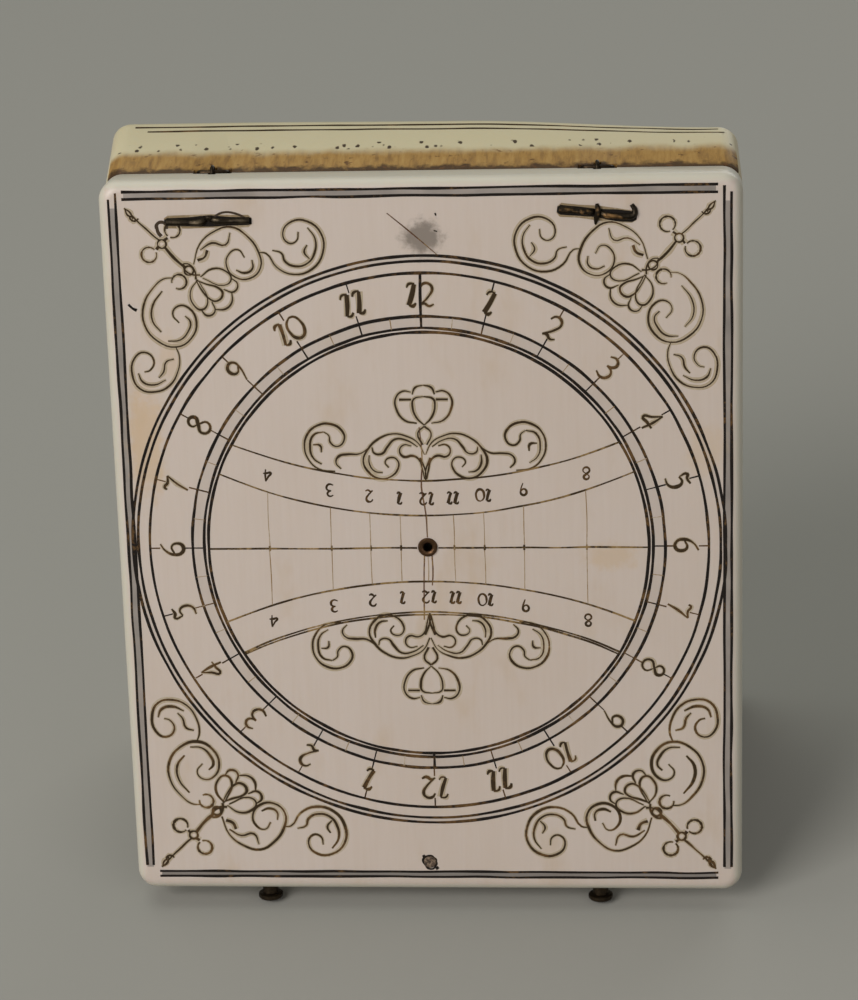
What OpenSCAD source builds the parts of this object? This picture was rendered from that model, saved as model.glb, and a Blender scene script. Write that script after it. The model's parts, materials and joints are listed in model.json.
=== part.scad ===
// Pocket sundial of the ivory diptych kind: two leaves hinged along one short edge, shown
// standing slightly open, hinge edge up, with the thin upper leaf in front.
// Origin: on the resting surface, at the middle of the footprint. +X to the right seen from the
// front, -Y to the front, +Z up.

/* [Leaves] */
// Width of both leaves
leaf_w = 62; // [58:0.5:70]
// Length of both leaves, from the hinge edge to the free edge
leaf_h = 74; // [72:0.5:84]
// Thickness of the upper leaf
upper_t = 4; // [3.5:0.1:5]
// Thickness of the lower leaf, which holds the compass
lower_t = 9; // [8.8:0.1:11]
// Angle between the leaves as the dial stands
opening = 22; // [16:1:40]
// Rounding of the leaf corners, seen square to the face
corner_r = 2; // [1.5:0.1:3]
// Rounding of the outer arris
arris_r = 1.2; // [0.6:0.1:1.4]

/* [Hinges and catches] */
// Distance of the left hinge from the middle
hinge_left_x = -20.2; // [-23:0.1:-12]
// Distance of the right hinge from the middle
hinge_right_x = 17.1; // [12:0.1:23]
// Radius of the hinge wire
wire_r = 0.33; // [0.25:0.01:0.4]
// Distance of the left catch from the middle
catch_left_x = -17.5; // [-22:0.1:-12]
// Distance of the right catch from the middle
catch_right_x = 16.6; // [12:0.1:22]
// How far the catch studs and hook rivets stand out of the free edge
catch_proud = 1.6; // [1.4:0.1:2.2]

/* [Gnomon and moon disc] */
// Radius of the hole that takes the gnomon pin
gnomon_bore_r = 0.45; // [0.35:0.01:0.5]
// Radius of the gnomon ferrule's tube
ferrule_r = 0.8; // [0.7:0.01:1]
// Radius of the moon disc
moon_r = 17; // [12:0.5:19]

/* [Compass and calendar] */
// Distance of the compass centre from the hinge edge
compass_y = 46; // [45:0.5:47]
// Radius of the compass well
well_r = 16; // [14:0.5:16]
// Depth of the compass well below the inner face
well_depth = 5.4; // [5.4:0.1:5.6]
// Radius of the calendar disc in the outer face
calendar_r = 23.5; // [20:0.5:24]
// Throw of the eccentric pin that moves the hour ring
throw = 2.2; // [1.6:0.1:2.2]

/* [Hidden] */
$fn = 64;

// Running clearance on a radius, and the gap round a piece that is let into a leaf
run = 0.05;
let_in = 0.02;
// Length that a cut runs past a face
past = 1;

// Upper leaf
dial_y = -leaf_h / 2;
moon_recess = 1.0;
moon_t = 0.82;
rove_r = 2.0;
rove_t = 0.34;
string_y = -leaf_h + 3.25;
string_x = -0.7;
string_r = 0.65;

// Hinges: the upper staple's eye turns on the lower staple's straight bow
bow_r = 0.35;
eye_r = bow_r + run + wire_r;
bow_half = 0.95;
bend_r = 0.5;
eye_slot_r = 1.2;
eye_slot_w = 0.9;
clinch_sink = 0.12;
clinch_run = 3.3;
upper_exit = 4.0;
lower_exit = 6.5;

// Catches
stud_w = 2.0;
stud_pin_r = 0.6;
stud_neck_r = 0.8;
stud_head_r = 1.25;
stud_head_t = 0.6;
pin_depth = 5;
hook_w = 4.5;
hook_t = 0.8;
hook_gap = 0.1;
hook_half = 1.15;
hook_rivet_r = 0.7;
hook_reach = hook_w + stud_w;

// Compass
seat_r = well_r + 1.4;
seat_depth = 1.3;
glass_t = 0.68;
card_t = 0.2;
hub_r = 3.45;
plate_r = 4.8;
plate_t = 0.5;
ring_t = 0.55;
eccentric_r = 0.5;
pivot_r = 0.4;
slot_half = eccentric_r + 0.18;
pivot_slot_half = pivot_r + 0.3;
guide_y = 9.4;
guide_r = 0.5;
needle_half = 11.5;
needle_t = 0.35;

// Calendar
calendar_recess = 1.3;
calendar_t = 1.0;
calendar_gap = 0.06;
rivet_r = 1.2;

// Heights in the lower leaf, measured from its inner face towards its outer face
floor_z = well_depth;
plate_z = floor_z - 0.1 - plate_t;
ring_z = plate_z - 0.1 - ring_t;
needle_z = ring_z - 1.3;
disc_z = lower_t - calendar_recess + calendar_gap;

// How the dial stands: each leaf turns about the hinge axis until its feet reach the ground
front_foot_y = leaf_h + catch_proud;
front_foot_w = stud_w - stud_head_r;
rear_foot_w = hook_w - stud_head_r;
front_radius = norm([front_foot_y, front_foot_w]);
rear_radius = norm([front_foot_y, rear_foot_w]);
front_offset = atan(front_foot_w / front_foot_y);
rear_offset = atan(rear_foot_w / front_foot_y);
spread = opening + front_offset + rear_offset;
front_turn = atan((front_radius - rear_radius * cos(spread)) / (rear_radius * sin(spread)));
upper_lean = front_turn - front_offset;
lower_lean = opening - upper_lean;
hinge_z = front_radius * cos(front_turn);
front_reach = (leaf_h - arris_r) * sin(upper_lean) + (upper_t - arris_r) * cos(upper_lean) + arris_r;
rear_reach = (leaf_h - arris_r) * sin(lower_lean) + (lower_t - arris_r) * cos(lower_lean) + arris_r;
hinge_y = (front_reach - rear_reach) / 2;

// A leaf's own frame has the hinge axis along X at its origin and its inner face at z = 0.
// The upper leaf runs towards -y, the lower leaf towards +y, and both thicken towards +z.
module on_upper_leaf() {
    translate([0, hinge_y, hinge_z]) rotate([90 - upper_lean, 0, 0]) children();
}

module on_lower_leaf() {
    translate([0, hinge_y, hinge_z]) rotate([lower_lean - 90, 0, 0]) children();
}

module on_compass() {
    on_lower_leaf() translate([0, compass_y, 0]) children();
}

// A slab with upright rounded corners and a rounded upper arris, on y from 0 to leaf_h
module leaf_blank(t) {
    hull() {
        for (x = [-1, 1], y = [corner_r, leaf_h - corner_r]) {
            translate([x * (leaf_w / 2 - corner_r), y, 0]) cylinder(r = corner_r, h = t - arris_r, $fn = 32);
            translate([x * (leaf_w / 2 - corner_r), y, t - arris_r])
                rotate_extrude($fn = 32) intersection() {
                    translate([corner_r - arris_r, 0]) circle(r = arris_r, $fn = 32);
                    square(corner_r);
                }
        }
    }
}

// A quarter bend of wire in the XZ plane, from +z at the origin to +x
module wire_bend(r) {
    translate([bend_r, 0, 0]) rotate([90, 0, 0]) rotate([0, 0, 90])
        rotate_extrude(angle = 90) translate([bend_r, 0]) circle(r = r);
}

// A leg of wire up +z from z = low to z = high, then bent over towards +x
module clinched_leg(r, low, high, reach) {
    translate([0, 0, low]) cylinder(r = r, h = high - low);
    translate([0, 0, high]) wire_bend(r);
    translate([bend_r, 0, high + bend_r]) rotate([0, 90, 0]) cylinder(r = r, h = reach);
}

// The staple of the upper leaf, with its eye round the hinge axis; grow widens it for its bed
module upper_staple(grow = 0) {
    lean = atan(upper_exit / upper_t);
    top = (upper_t + clinch_sink) / cos(lean) - bend_r;
    rotate([lean, 0, 0]) {
        rotate([0, 90, 0]) rotate_extrude() translate([eye_r, 0]) circle(r = wire_r + grow);
        for (side = [0, 1]) mirror([side, 0, 0]) translate([wire_r + let_in / 2, 0, 0])
            clinched_leg(wire_r + grow, eye_r, top, clinch_run);
    }
}

// The staple of the lower leaf, whose straight bow is the hinge pin
module lower_staple(grow = 0) {
    lean = atan(lower_exit / lower_t);
    top = (lower_t + clinch_sink) / cos(lean) - bend_r;
    rotate([-lean, 0, 0]) {
        translate([-bow_half, 0, 0]) rotate([0, 90, 0]) cylinder(r = bow_r + grow, h = 2 * bow_half);
        for (side = [0, 1]) mirror([side, 0, 0]) translate([bow_half + bend_r, 0, bend_r]) {
            rotate([0, 0, 180]) mirror([0, 0, 1]) wire_bend(bow_r + grow);
            clinched_leg(bow_r + grow, 0, top - bend_r, clinch_run - 0.6);
        }
    }
}

// Room in both leaves for the eye and the bow to turn
module hinge_relief() {
    rotate([0, 90, 0]) cylinder(r = eye_slot_r, h = eye_slot_w, center = true);
    rotate([0, 90, 0]) cylinder(r = bow_r + 0.1, h = 2 * (bow_half + bend_r + bow_r), center = true);
}

module upper_leaf() {
    color("antiquewhite") on_upper_leaf() difference() {
        mirror([0, 1, 0]) leaf_blank(upper_t);
        for (x = [hinge_left_x, hinge_right_x]) translate([x, 0, 0]) {
            hinge_relief();
            upper_staple(let_in);
        }
        translate([0, dial_y, -past]) cylinder(r = moon_r + 0.2, h = moon_recess + past, $fn = 128);
        translate([0, dial_y, -past]) cylinder(r = ferrule_r, h = upper_t + 2 * past);
        translate([string_x, string_y, -past]) cylinder(r = string_r, h = upper_t + 2 * past);
        for (x = [catch_left_x, catch_right_x])
            translate([x, -leaf_h + pin_depth, stud_w]) rotate([90, 0, 0])
                cylinder(r = stud_pin_r, h = pin_depth + past);
    }
}

module lower_leaf() {
    color("wheat") on_lower_leaf() difference() {
        leaf_blank(lower_t);
        for (x = [hinge_left_x, hinge_right_x]) translate([x, 0, 0]) {
            hinge_relief();
            lower_staple(let_in);
        }
        translate([0, compass_y, -past]) cylinder(r = seat_r, h = seat_depth + past, $fn = 128);
        translate([0, compass_y, -past]) cylinder(r = well_r, h = well_depth + past, $fn = 128);
        translate([0, compass_y, 0]) cylinder(r = hub_r + run, h = lower_t);
        translate([0, compass_y, lower_t - calendar_recess])
            cylinder(r = calendar_r + 0.2, h = calendar_recess + past, $fn = 128);
        for (side = [-1, 1]) translate([0, compass_y + side * guide_y, 0])
            cylinder(r = guide_r, h = well_depth + 1.2);
        for (x = [catch_left_x, catch_right_x])
            translate([x, leaf_h - pin_depth, hook_w]) rotate([-90, 0, 0])
                cylinder(r = hook_rivet_r, h = pin_depth + past);
    }
}

module hinge_wire_upper_left() {
    color("darkgoldenrod") on_upper_leaf() translate([hinge_left_x, 0, 0]) upper_staple();
}

module hinge_wire_upper_right() {
    color("darkgoldenrod") on_upper_leaf() translate([hinge_right_x, 0, 0]) upper_staple();
}

module hinge_wire_lower_left() {
    color("darkgoldenrod") on_lower_leaf() translate([hinge_left_x, 0, 0]) lower_staple();
}

module hinge_wire_lower_right() {
    color("darkgoldenrod") on_lower_leaf() translate([hinge_right_x, 0, 0]) lower_staple();
}

// Tubular rivet through the upper leaf, rolled over a little on the dial side
module gnomon_ferrule() {
    color("saddlebrown") on_upper_leaf() translate([0, dial_y, 0]) difference() {
        union() {
            translate([0, 0, 0.12]) cylinder(r = ferrule_r, h = upper_t - 0.12);
            translate([0, 0, upper_t]) cylinder(r = ferrule_r + 0.15, h = 0.2);
        }
        translate([0, 0, -past]) cylinder(r = gnomon_bore_r, h = upper_t + 2 * past);
    }
}

// Moon disc in the inner face of the upper leaf, with a nail hole near its rim to turn it by
module lunar_disc() {
    disc_top = moon_recess - 0.06;
    color("silver") on_upper_leaf() translate([0, dial_y, 0]) difference() {
        translate([0, 0, disc_top - moon_t]) cylinder(r = moon_r, h = moon_t, $fn = 128);
        translate([0, 0, -past]) cylinder(r = ferrule_r + 0.06, h = upper_t);
        translate([0, 0, 0]) cylinder(r = rove_r + 0.1, h = 0.12 + rove_t + 0.04);
        translate([0, moon_r - 1.6, -past]) cylinder(r = 0.55, h = upper_t);
    }
}

// Rove pressed on the ferrule's inner end, which holds the moon disc
module lunar_rove() {
    color("goldenrod") on_upper_leaf() translate([0, dial_y, 0.12]) difference() {
        cylinder(r = rove_r, h = rove_t);
        translate([0, 0, -past]) cylinder(r = ferrule_r, h = rove_t + 2 * past);
    }
}

// Plug in the string hole
module string_peg() {
    color("sienna") on_upper_leaf() translate([string_x, string_y, 0]) {
        translate([0, 0, 0.8]) cylinder(r = string_r, h = upper_t - 0.8);
        translate([0, 0, upper_t]) cylinder(r1 = string_r, r2 = string_r - 0.2, h = 0.18);
    }
}

// Headed pin in the free edge of the upper leaf, which a hook catches
module catch_stud(x) {
    neck = catch_proud - stud_head_t;
    color("darkgoldenrod") on_upper_leaf() translate([x, -leaf_h, stud_w]) rotate([90, 0, 0]) {
        translate([0, 0, -pin_depth]) cylinder(r = stud_pin_r, h = pin_depth);
        cylinder(r = stud_neck_r, h = neck);
        translate([0, 0, neck]) cylinder(r = stud_head_r, h = stud_head_t);
    }
}

module catch_stud_left() {
    catch_stud(catch_left_x);
}

module catch_stud_right() {
    catch_stud(catch_right_x);
}

// Flat hook on the free edge of the lower leaf, in its own frame: pivot at the origin, arm along
// +x, slot open towards +y
module hook_plate() {
    slot_r = stud_neck_r + 0.1;
    linear_extrude(hook_t) difference() {
        union() {
            circle(r = hook_half + 0.3);
            translate([0, -hook_half]) square([hook_reach, 2 * hook_half]);
            translate([hook_reach, 0]) circle(r = 2 * slot_r);
        }
        circle(r = hook_rivet_r + run);
        translate([hook_reach, 0]) circle(r = slot_r);
        translate([hook_reach - slot_r, 0]) square([2 * slot_r, 3 * slot_r]);
    }
}

// side is +1 where the hook lies towards +x when it is open
module catch_hook(x, side) {
    color("darkgoldenrod") on_lower_leaf() translate([x, leaf_h + hook_gap, hook_w])
        mirror([side < 0 ? 1 : 0, 0, 0]) mirror([0, 0, 1]) rotate([90, 0, 0]) mirror([0, 0, 1]) hook_plate();
}

module catch_hook_left() {
    catch_hook(catch_left_x, 1);
}

module catch_hook_right() {
    catch_hook(catch_right_x, -1);
}

// Headed rivet that a hook turns on
module hook_rivet(x) {
    neck = hook_t + 2 * hook_gap;
    color("goldenrod") on_lower_leaf() translate([x, leaf_h, hook_w]) rotate([-90, 0, 0]) {
        translate([0, 0, -pin_depth]) cylinder(r = hook_rivet_r, h = pin_depth + neck);
        translate([0, 0, neck]) cylinder(r = stud_head_r, h = catch_proud - neck);
    }
}

module hook_rivet_left() {
    hook_rivet(catch_left_x);
}

module hook_rivet_right() {
    hook_rivet(catch_right_x);
}

// Printed rose on the floor of the well
module compass_card() {
    color("ivory") on_compass() difference() {
        translate([0, 0, floor_z - card_t]) cylinder(r = well_r - 0.1, h = card_t, $fn = 128);
        translate([0, 0, -past]) cylinder(r = plate_r + 0.2, h = lower_t);
        for (side = [-1, 1]) translate([0, side * guide_y, -past]) cylinder(r = guide_r + run, h = lower_t);
    }
}

module ellipse_disc(rx, ry, t) {
    linear_extrude(t) polygon([for (a = [0:3:357]) [rx * cos(a), ry * sin(a)]]);
}

// Pewter hour ring with a bar across it: one slot clears the needle's pivot, one takes the
// eccentric, and two run on the guide pins
module hour_ring() {
    ring_x = well_r - 1.8;
    ring_y = well_r - 3.1;
    band = 3.6;
    bar_half = 4;
    slide = throw + 0.5;
    color("lightslategray") on_compass() translate([0, 0, ring_z]) difference() {
        union() {
            difference() {
                ellipse_disc(ring_x, ring_y, ring_t);
                translate([0, 0, -past]) ellipse_disc(ring_x - band, ring_y - band, ring_t + 2 * past);
            }
            translate([-bar_half, -ring_y + 1, 0]) cube([2 * bar_half, 2 * (ring_y - 1), ring_t]);
        }
        translate([-pivot_slot_half, -slide, -past])
            cube([2 * pivot_slot_half, 2 * slide, ring_t + 2 * past]);
        translate([0, -slot_half, -past]) cube([throw + slot_half, 2 * slot_half, ring_t + 2 * past]);
        for (side = [-1, 1], end = [-1, 1]) translate([0, side * guide_y + end * (throw - 0.1), -past])
            cylinder(r = guide_r + 0.1, h = ring_t + 2 * past);
        for (side = [-1, 1]) translate([-guide_r - 0.1, side * guide_y - throw + 0.1, -past])
            cube([2 * guide_r + 0.2, 2 * throw - 0.2, ring_t + 2 * past]);
    }
}

// The two headed pins in the floor of the well that the hour ring runs on
module guide_pins() {
    color("goldenrod") on_compass() for (side = [-1, 1]) translate([0, side * guide_y, 0]) {
        translate([0, 0, ring_z - 0.1]) cylinder(r = guide_r, h = floor_z + 1.2 - ring_z + 0.1);
        translate([0, 0, ring_z - 0.4]) cylinder(r = guide_r + 0.45, h = 0.3);
    }
}

// Steel point that carries the needle, stuck in the calendar rivet
module compass_pivot() {
    color("dimgray") on_compass() {
        translate([0, 0, needle_z + 0.5]) cylinder(r = pivot_r, h = plate_z + 1 - needle_z);
        translate([0, 0, needle_z - 0.3]) cylinder(r1 = 0.05, r2 = pivot_r, h = 0.8);
    }
}

module compass_needle() {
    color("midnightblue") on_compass() translate([0, 0, needle_z]) difference() {
        union() {
            linear_extrude(needle_t) polygon([[0, needle_half], [1.0, 0], [0, -needle_half], [-1.0, 0]]);
            cylinder(r = 1.5, h = needle_t);
        }
        translate([0, 0, -past]) cylinder(r = 1.0, h = needle_t + 2 * past);
    }
}

// Brass cap with a conical hollow, pressed into the needle
module needle_cap() {
    color("gold") on_compass() translate([0, 0, needle_z]) difference() {
        union() {
            translate([0, 0, -0.35]) cylinder(r = 1.0, h = 0.35 + needle_t + 0.15);
            translate([0, 0, -0.75]) cylinder(r1 = 0.5, r2 = 1.0, h = 0.4);
        }
        translate([0, 0, -0.36]) cylinder(r1 = 0.1, r2 = 0.8, h = 0.9);
    }
}

module compass_glass() {
    color([0.8, 0.9, 0.9, 0.35]) on_compass() translate([0, 0, seat_depth - glass_t])
        cylinder(r = seat_r - 0.05, h = glass_t, $fn = 128);
}

// Split brass ring sprung into the seat over the glass
module glass_ring() {
    ring_half = 0.25;
    color("goldenrod") on_compass() difference() {
        translate([0, 0, 0.06]) cylinder(r = seat_r, h = seat_depth - glass_t - 0.06, $fn = 128);
        translate([0, 0, -past]) cylinder(r = well_r + 0.4, h = seat_depth + past, $fn = 128);
        translate([-ring_half, well_r - 1, -past]) cube([2 * ring_half, 3, 3]);
    }
}

// Calendar plate let into the outer face of the lower leaf, with two nail holes to turn it by
module calendar_disc() {
    color("silver") on_compass() difference() {
        translate([0, 0, disc_z]) cylinder(r = calendar_r, h = calendar_t, $fn = 128);
        cylinder(r = rivet_r, h = lower_t + past);
        for (side = [-1, 1]) translate([0, side * (calendar_r - 2.2), 0]) cylinder(r = 0.6, h = lower_t + past);
    }
}

// Drum between the calendar disc and the hub plate, which turns in the leaf
module drive_hub() {
    color("goldenrod") on_compass() difference() {
        translate([0, 0, plate_z + plate_t]) cylinder(r = hub_r, h = disc_z - plate_z - plate_t);
        cylinder(r = rivet_r, h = lower_t);
    }
}

// Plate that keeps the hub in the leaf, with the eccentric pin that moves the hour ring
module hub_plate() {
    color("gold") on_compass() {
        difference() {
            translate([0, 0, plate_z]) cylinder(r = plate_r, h = plate_t);
            cylinder(r = rivet_r, h = lower_t);
        }
        translate([throw, 0, ring_z]) cylinder(r = eccentric_r, h = plate_z - ring_z);
    }
}

// Rivet through the calendar disc, the hub and the hub plate, bored for the needle's pivot
module calendar_rivet() {
    color("peru") on_compass() difference() {
        union() {
            translate([0, 0, plate_z]) cylinder(r = rivet_r, h = disc_z + calendar_t - plate_z);
            translate([0, 0, disc_z + calendar_t]) cylinder(r = 2.2, h = 0.12);
        }
        translate([0, 0, 0]) cylinder(r = pivot_r, h = plate_z + 1.5);
    }
}

upper_leaf();
lower_leaf();
hinge_wire_upper_left();
hinge_wire_upper_right();
hinge_wire_lower_left();
hinge_wire_lower_right();
gnomon_ferrule();
lunar_disc();
lunar_rove();
string_peg();
catch_stud_left();
catch_stud_right();
catch_hook_left();
catch_hook_right();
hook_rivet_left();
hook_rivet_right();
compass_card();
hour_ring();
guide_pins();
compass_pivot();
compass_needle();
needle_cap();
compass_glass();
glass_ring();
calendar_disc();
drive_hub();
hub_plate();
calendar_rivet();
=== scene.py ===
"""Pocket sundial: an ivory diptych of two hinged leaves, standing part open as a tent."""

import json
import math
import random

import bmesh
import bpy
from mathutils import Matrix, Vector


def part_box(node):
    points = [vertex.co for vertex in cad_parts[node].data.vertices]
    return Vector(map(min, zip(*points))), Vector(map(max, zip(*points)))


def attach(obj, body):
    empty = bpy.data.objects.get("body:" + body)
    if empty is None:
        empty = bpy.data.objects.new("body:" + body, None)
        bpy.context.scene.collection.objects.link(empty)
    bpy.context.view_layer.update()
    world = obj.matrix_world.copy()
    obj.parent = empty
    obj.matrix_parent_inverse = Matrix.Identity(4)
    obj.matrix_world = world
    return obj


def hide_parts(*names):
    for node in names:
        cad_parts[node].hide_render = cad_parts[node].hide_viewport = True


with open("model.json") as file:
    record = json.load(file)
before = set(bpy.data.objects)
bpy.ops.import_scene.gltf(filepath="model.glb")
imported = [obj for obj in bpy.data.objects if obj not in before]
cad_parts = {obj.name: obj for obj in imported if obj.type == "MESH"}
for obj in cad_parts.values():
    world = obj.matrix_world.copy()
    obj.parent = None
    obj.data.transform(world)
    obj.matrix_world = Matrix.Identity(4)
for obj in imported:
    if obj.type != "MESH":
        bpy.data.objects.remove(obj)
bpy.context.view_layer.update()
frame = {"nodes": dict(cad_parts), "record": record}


# ------------------------------------------------------------------------------------------
# Camera, table and lamps. The dial stands on a plain pale table and is looked down on from
# the front and a little to the right. A broad soft lamp hangs on the left, with weak fills.

camera_data = bpy.data.cameras.new("camera")
camera_data.lens = 110.2
camera = bpy.data.objects.new("camera", camera_data)
camera.location = (0.02347, -0.27518, 0.18772)
camera.rotation_euler = [math.radians(turn) for turn in (61.30, 2.41, 3.72)]
bpy.context.scene.collection.objects.link(camera)
bpy.context.scene.camera = camera
bpy.context.scene.view_settings.view_transform = "Standard"


def lamp(name, place, aim, size, watts, colour):
    """A square soft lamp at place that looks at aim."""
    data = bpy.data.lights.new(name, "AREA")
    data.size = size
    data.energy = watts
    data.color = colour
    light = bpy.data.objects.new(name, data)
    light.location = place
    light.rotation_euler = (Vector(aim) - Vector(place)).to_track_quat("-Z", "Y").to_euler()
    bpy.context.scene.collection.objects.link(light)


middle = (0, 0, 0.04)
lamp("key_lamp", (-0.50, -0.60, 0.48), middle, 0.5, 6.5, (1.0, 0.98, 0.97))
lamp("top_lamp", (-0.25, 0.15, 0.85), middle, 0.6, 1.7, (0.95, 1.0, 0.94))
lamp("back_lamp", (0.35, 0.85, 0.45), middle, 0.6, 2.2, (1.0, 0.99, 0.96))
lamp("fill_lamp", (0.6, -0.7, 0.40), middle, 0.7, 1.5, (0.98, 0.98, 1.0))

world = bpy.data.worlds.new("room")
world.use_nodes = True
world.node_tree.nodes["Background"].inputs["Color"].default_value = (0.80, 0.82, 0.79, 1)
world.node_tree.nodes["Background"].inputs["Strength"].default_value = 0.245
bpy.context.scene.world = world


def new_material(name):
    """A new material, its node tree and its Principled shader."""
    made = bpy.data.materials.new(name)
    made.use_nodes = True
    return made, made.node_tree, made.node_tree.nodes["Principled BSDF"]


bpy.ops.object.select_all(action="DESELECT")
bpy.ops.mesh.primitive_plane_add(size=6, location=(0, 0, 0))
table = bpy.context.object
table.name = "table"
table_paint, _, table_shader = new_material("table_paint")
table_shader.inputs["Base Color"].default_value = (0.30, 0.292, 0.262, 1)
table_shader.inputs["Roughness"].default_value = 0.9
table.data.materials.append(table_paint)


# ------------------------------------------------------------------------------------------
# The two ivory leaves. Each was sawn from a tusk, planed flat, and scraped round at its
# corners and outer arrises. The hinge edge is open grain, stained brown where it meets the
# other leaf. Sizes are in millimetres, in the leaf's own frame: x along the hinge, z out of
# the leaf's outer face, and the hinge axis at the origin on the inner face.

joints = {joint["name"]: joint for joint in frame["record"]["behaviour"]["joints"]}
hinge = Vector(joints["leaf_hinge"]["pos_m"])


def leaf_frame(outward):
    """The matrix from a leaf's own millimetres to the dial's metres."""
    z = Vector(outward).normalized()
    x = Vector((1, 0, 0))
    turn = Matrix((x, z.cross(x), z)).transposed().to_4x4()
    return Matrix.Translation(hinge) @ turn @ Matrix.Scale(0.001, 4)


UPPER = leaf_frame(joints["moon_disc_turn"]["axis"])
LOWER = leaf_frame(joints["calendar_turn"]["axis"])


def along_leaf(leaf, joint):
    """How far down a leaf a joint stands, in the leaf's own millimetres."""
    return (leaf.inverted() @ Vector(joints[joint]["pos_m"])).y


def middle_x(name):
    """Where a CAD piece's middle lies along the hinge, in millimetres."""
    low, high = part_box(name)
    return 500 * (low[0] + high[0])


WIDTH = 1000 * (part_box("upper_leaf")[1][0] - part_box("upper_leaf")[0][0])
LENGTH = 74
UPPER_T = 4
LOWER_T = 9
DIAL_Y = along_leaf(UPPER, "moon_disc_turn")
COMPASS_Y = along_leaf(LOWER, "calendar_turn")
LEFT_HINGE_X = middle_x("hinge_wire_upper_left")
RIGHT_HINGE_X = middle_x("hinge_wire_upper_right")


def clear():
    """Nothing is selected, so that the next operator acts on the next new piece alone."""
    if bpy.context.object and bpy.context.object.mode != "OBJECT":
        bpy.ops.object.mode_set(mode="OBJECT")
    bpy.ops.object.select_all(action="DESELECT")


def only(piece):
    """The piece alone is selected and active."""
    clear()
    piece.select_set(True)
    bpy.context.view_layer.objects.active = piece


def pick_edges(piece, test):
    """In edit mode, the edges whose two ends pass the test are selected."""
    bpy.ops.mesh.select_mode(type="EDGE")
    bpy.ops.mesh.select_all(action="DESELECT")
    mesh = bmesh.from_edit_mesh(piece.data)
    for edge in mesh.edges:
        edge.select_set(test(edge.verts[0].co, edge.verts[1].co))
    bmesh.update_edit_mesh(piece.data)


def added():
    """The piece that an operator has just added, with its place and turn put into its mesh."""
    bpy.ops.object.transform_apply(location=True, rotation=True, scale=True)
    return bpy.context.object


def cylinder(radius, low, high, x=0, y=0, sides=96):
    """An upright cylinder from z = low to z = high."""
    clear()
    bpy.ops.mesh.primitive_cylinder_add(
        vertices=sides, radius=radius, depth=high - low, location=(x, y, (low + high) / 2)
    )
    return added()


def box(place, size):
    """A box with its middle at place."""
    clear()
    bpy.ops.mesh.primitive_cube_add(size=1, location=place, scale=size)
    return added()


def cut(piece, *others, operation="DIFFERENCE"):
    """The other shapes are taken out of the piece, or joined to it with UNION."""
    for other in others:
        only(piece)
        change = piece.modifiers.new("change", "BOOLEAN")
        change.operation = operation
        change.solver = "EXACT"
        change.object = other
        bpy.ops.object.modifier_apply(modifier=change.name)
        bpy.data.objects.remove(other)


def move(piece, x, y):
    """A piece's mesh is moved in its leaf's plane."""
    piece.data.transform(Matrix.Translation((x, y, 0)))


def settle(piece, leaf, body, slot, material, *nodes):
    """A piece modelled in a leaf's millimetres is put in its place and fixed to its body."""
    piece.data.materials.clear()
    piece.data.materials.append(material)
    only(piece)
    bpy.ops.object.shade_smooth_by_angle(angle=math.radians(35))
    piece.data.transform(leaf)
    piece.data.update()
    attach(piece, body)
    if nodes:
        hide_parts(*nodes)


def node(tree, kind, **inputs):
    """A shader node with its inputs, given by name or as links from other nodes' outputs."""
    made = tree.nodes.new(kind)
    for name, value in inputs.items():
        socket = made.inputs[int(name[1:])] if name[0] == "_" else made.inputs[name.replace("_", " ")]
        if isinstance(value, bpy.types.NodeSocket):
            tree.links.new(value, socket)
        else:
            socket.default_value = value
    return made


def maths(tree, operation, a, b=0.0, c=0.0):
    """The output of a Math node on numbers or sockets."""
    made = node(tree, "ShaderNodeMath", _0=a, _1=b, _2=c)
    made.operation = operation
    return made.outputs[0]


def times(tree, first, *others):
    """The product of numbers and sockets."""
    for other in others:
        first = maths(tree, "MULTIPLY", first, other)
    return first


def mixed(tree, amount, first, second):
    """The output of a colour mix. A colour may be given as three numbers."""
    made = tree.nodes.new("ShaderNodeMix")
    made.data_type = "RGBA"
    for socket, value in ((made.inputs[0], amount), (made.inputs[6], first), (made.inputs[7], second)):
        if isinstance(value, bpy.types.NodeSocket):
            tree.links.new(value, socket)
        else:
            socket.default_value = (*value, 1) if isinstance(value, tuple) else value
    return made.outputs[2]


def noise(tree, place, stretch, scale, detail=2.0, rough=0.5):
    """The grey output of a noise texture whose pattern is stretched along the leaf's axes."""
    mapping = node(tree, "ShaderNodeMapping", Vector=place, Scale=stretch)
    texture = node(tree, "ShaderNodeTexNoise", Vector=mapping.outputs[0], Scale=scale, Detail=detail,
                   Roughness=rough)
    return texture.outputs[0]


def sway(tree, place, gain, scale, detail, rough=0.5):
    """Noise that swings as far below zero as above it."""
    return maths(tree, "MULTIPLY_ADD", noise(tree, place, (1, 1, 1), scale, detail, rough), gain, -gain / 2)


def ramp(tree, amount, *stops):
    """A colour ramp with (place, colour) stops."""
    made = node(tree, "ShaderNodeValToRGB", Fac=amount)
    band = made.color_ramp
    while len(band.elements) < len(stops):
        band.elements.new(0.5)
    for element, (place, colour) in zip(band.elements, stops):
        element.position = place
        element.color = (*colour, 1)
    return made.outputs[0]


def step(tree, value, start, end):
    """0 below start, 1 above end, smooth between."""
    made = node(tree, "ShaderNodeMapRange", Value=value, _1=start, _2=end, _3=0.0, _4=1.0)
    made.interpolation_type = "SMOOTHSTEP"
    return made.outputs[0]


def fall(tree, value, start, end):
    """1 below start, 0 above end, smooth between."""
    return maths(tree, "SUBTRACT", 1.0, step(tree, value, start, end))


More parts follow.
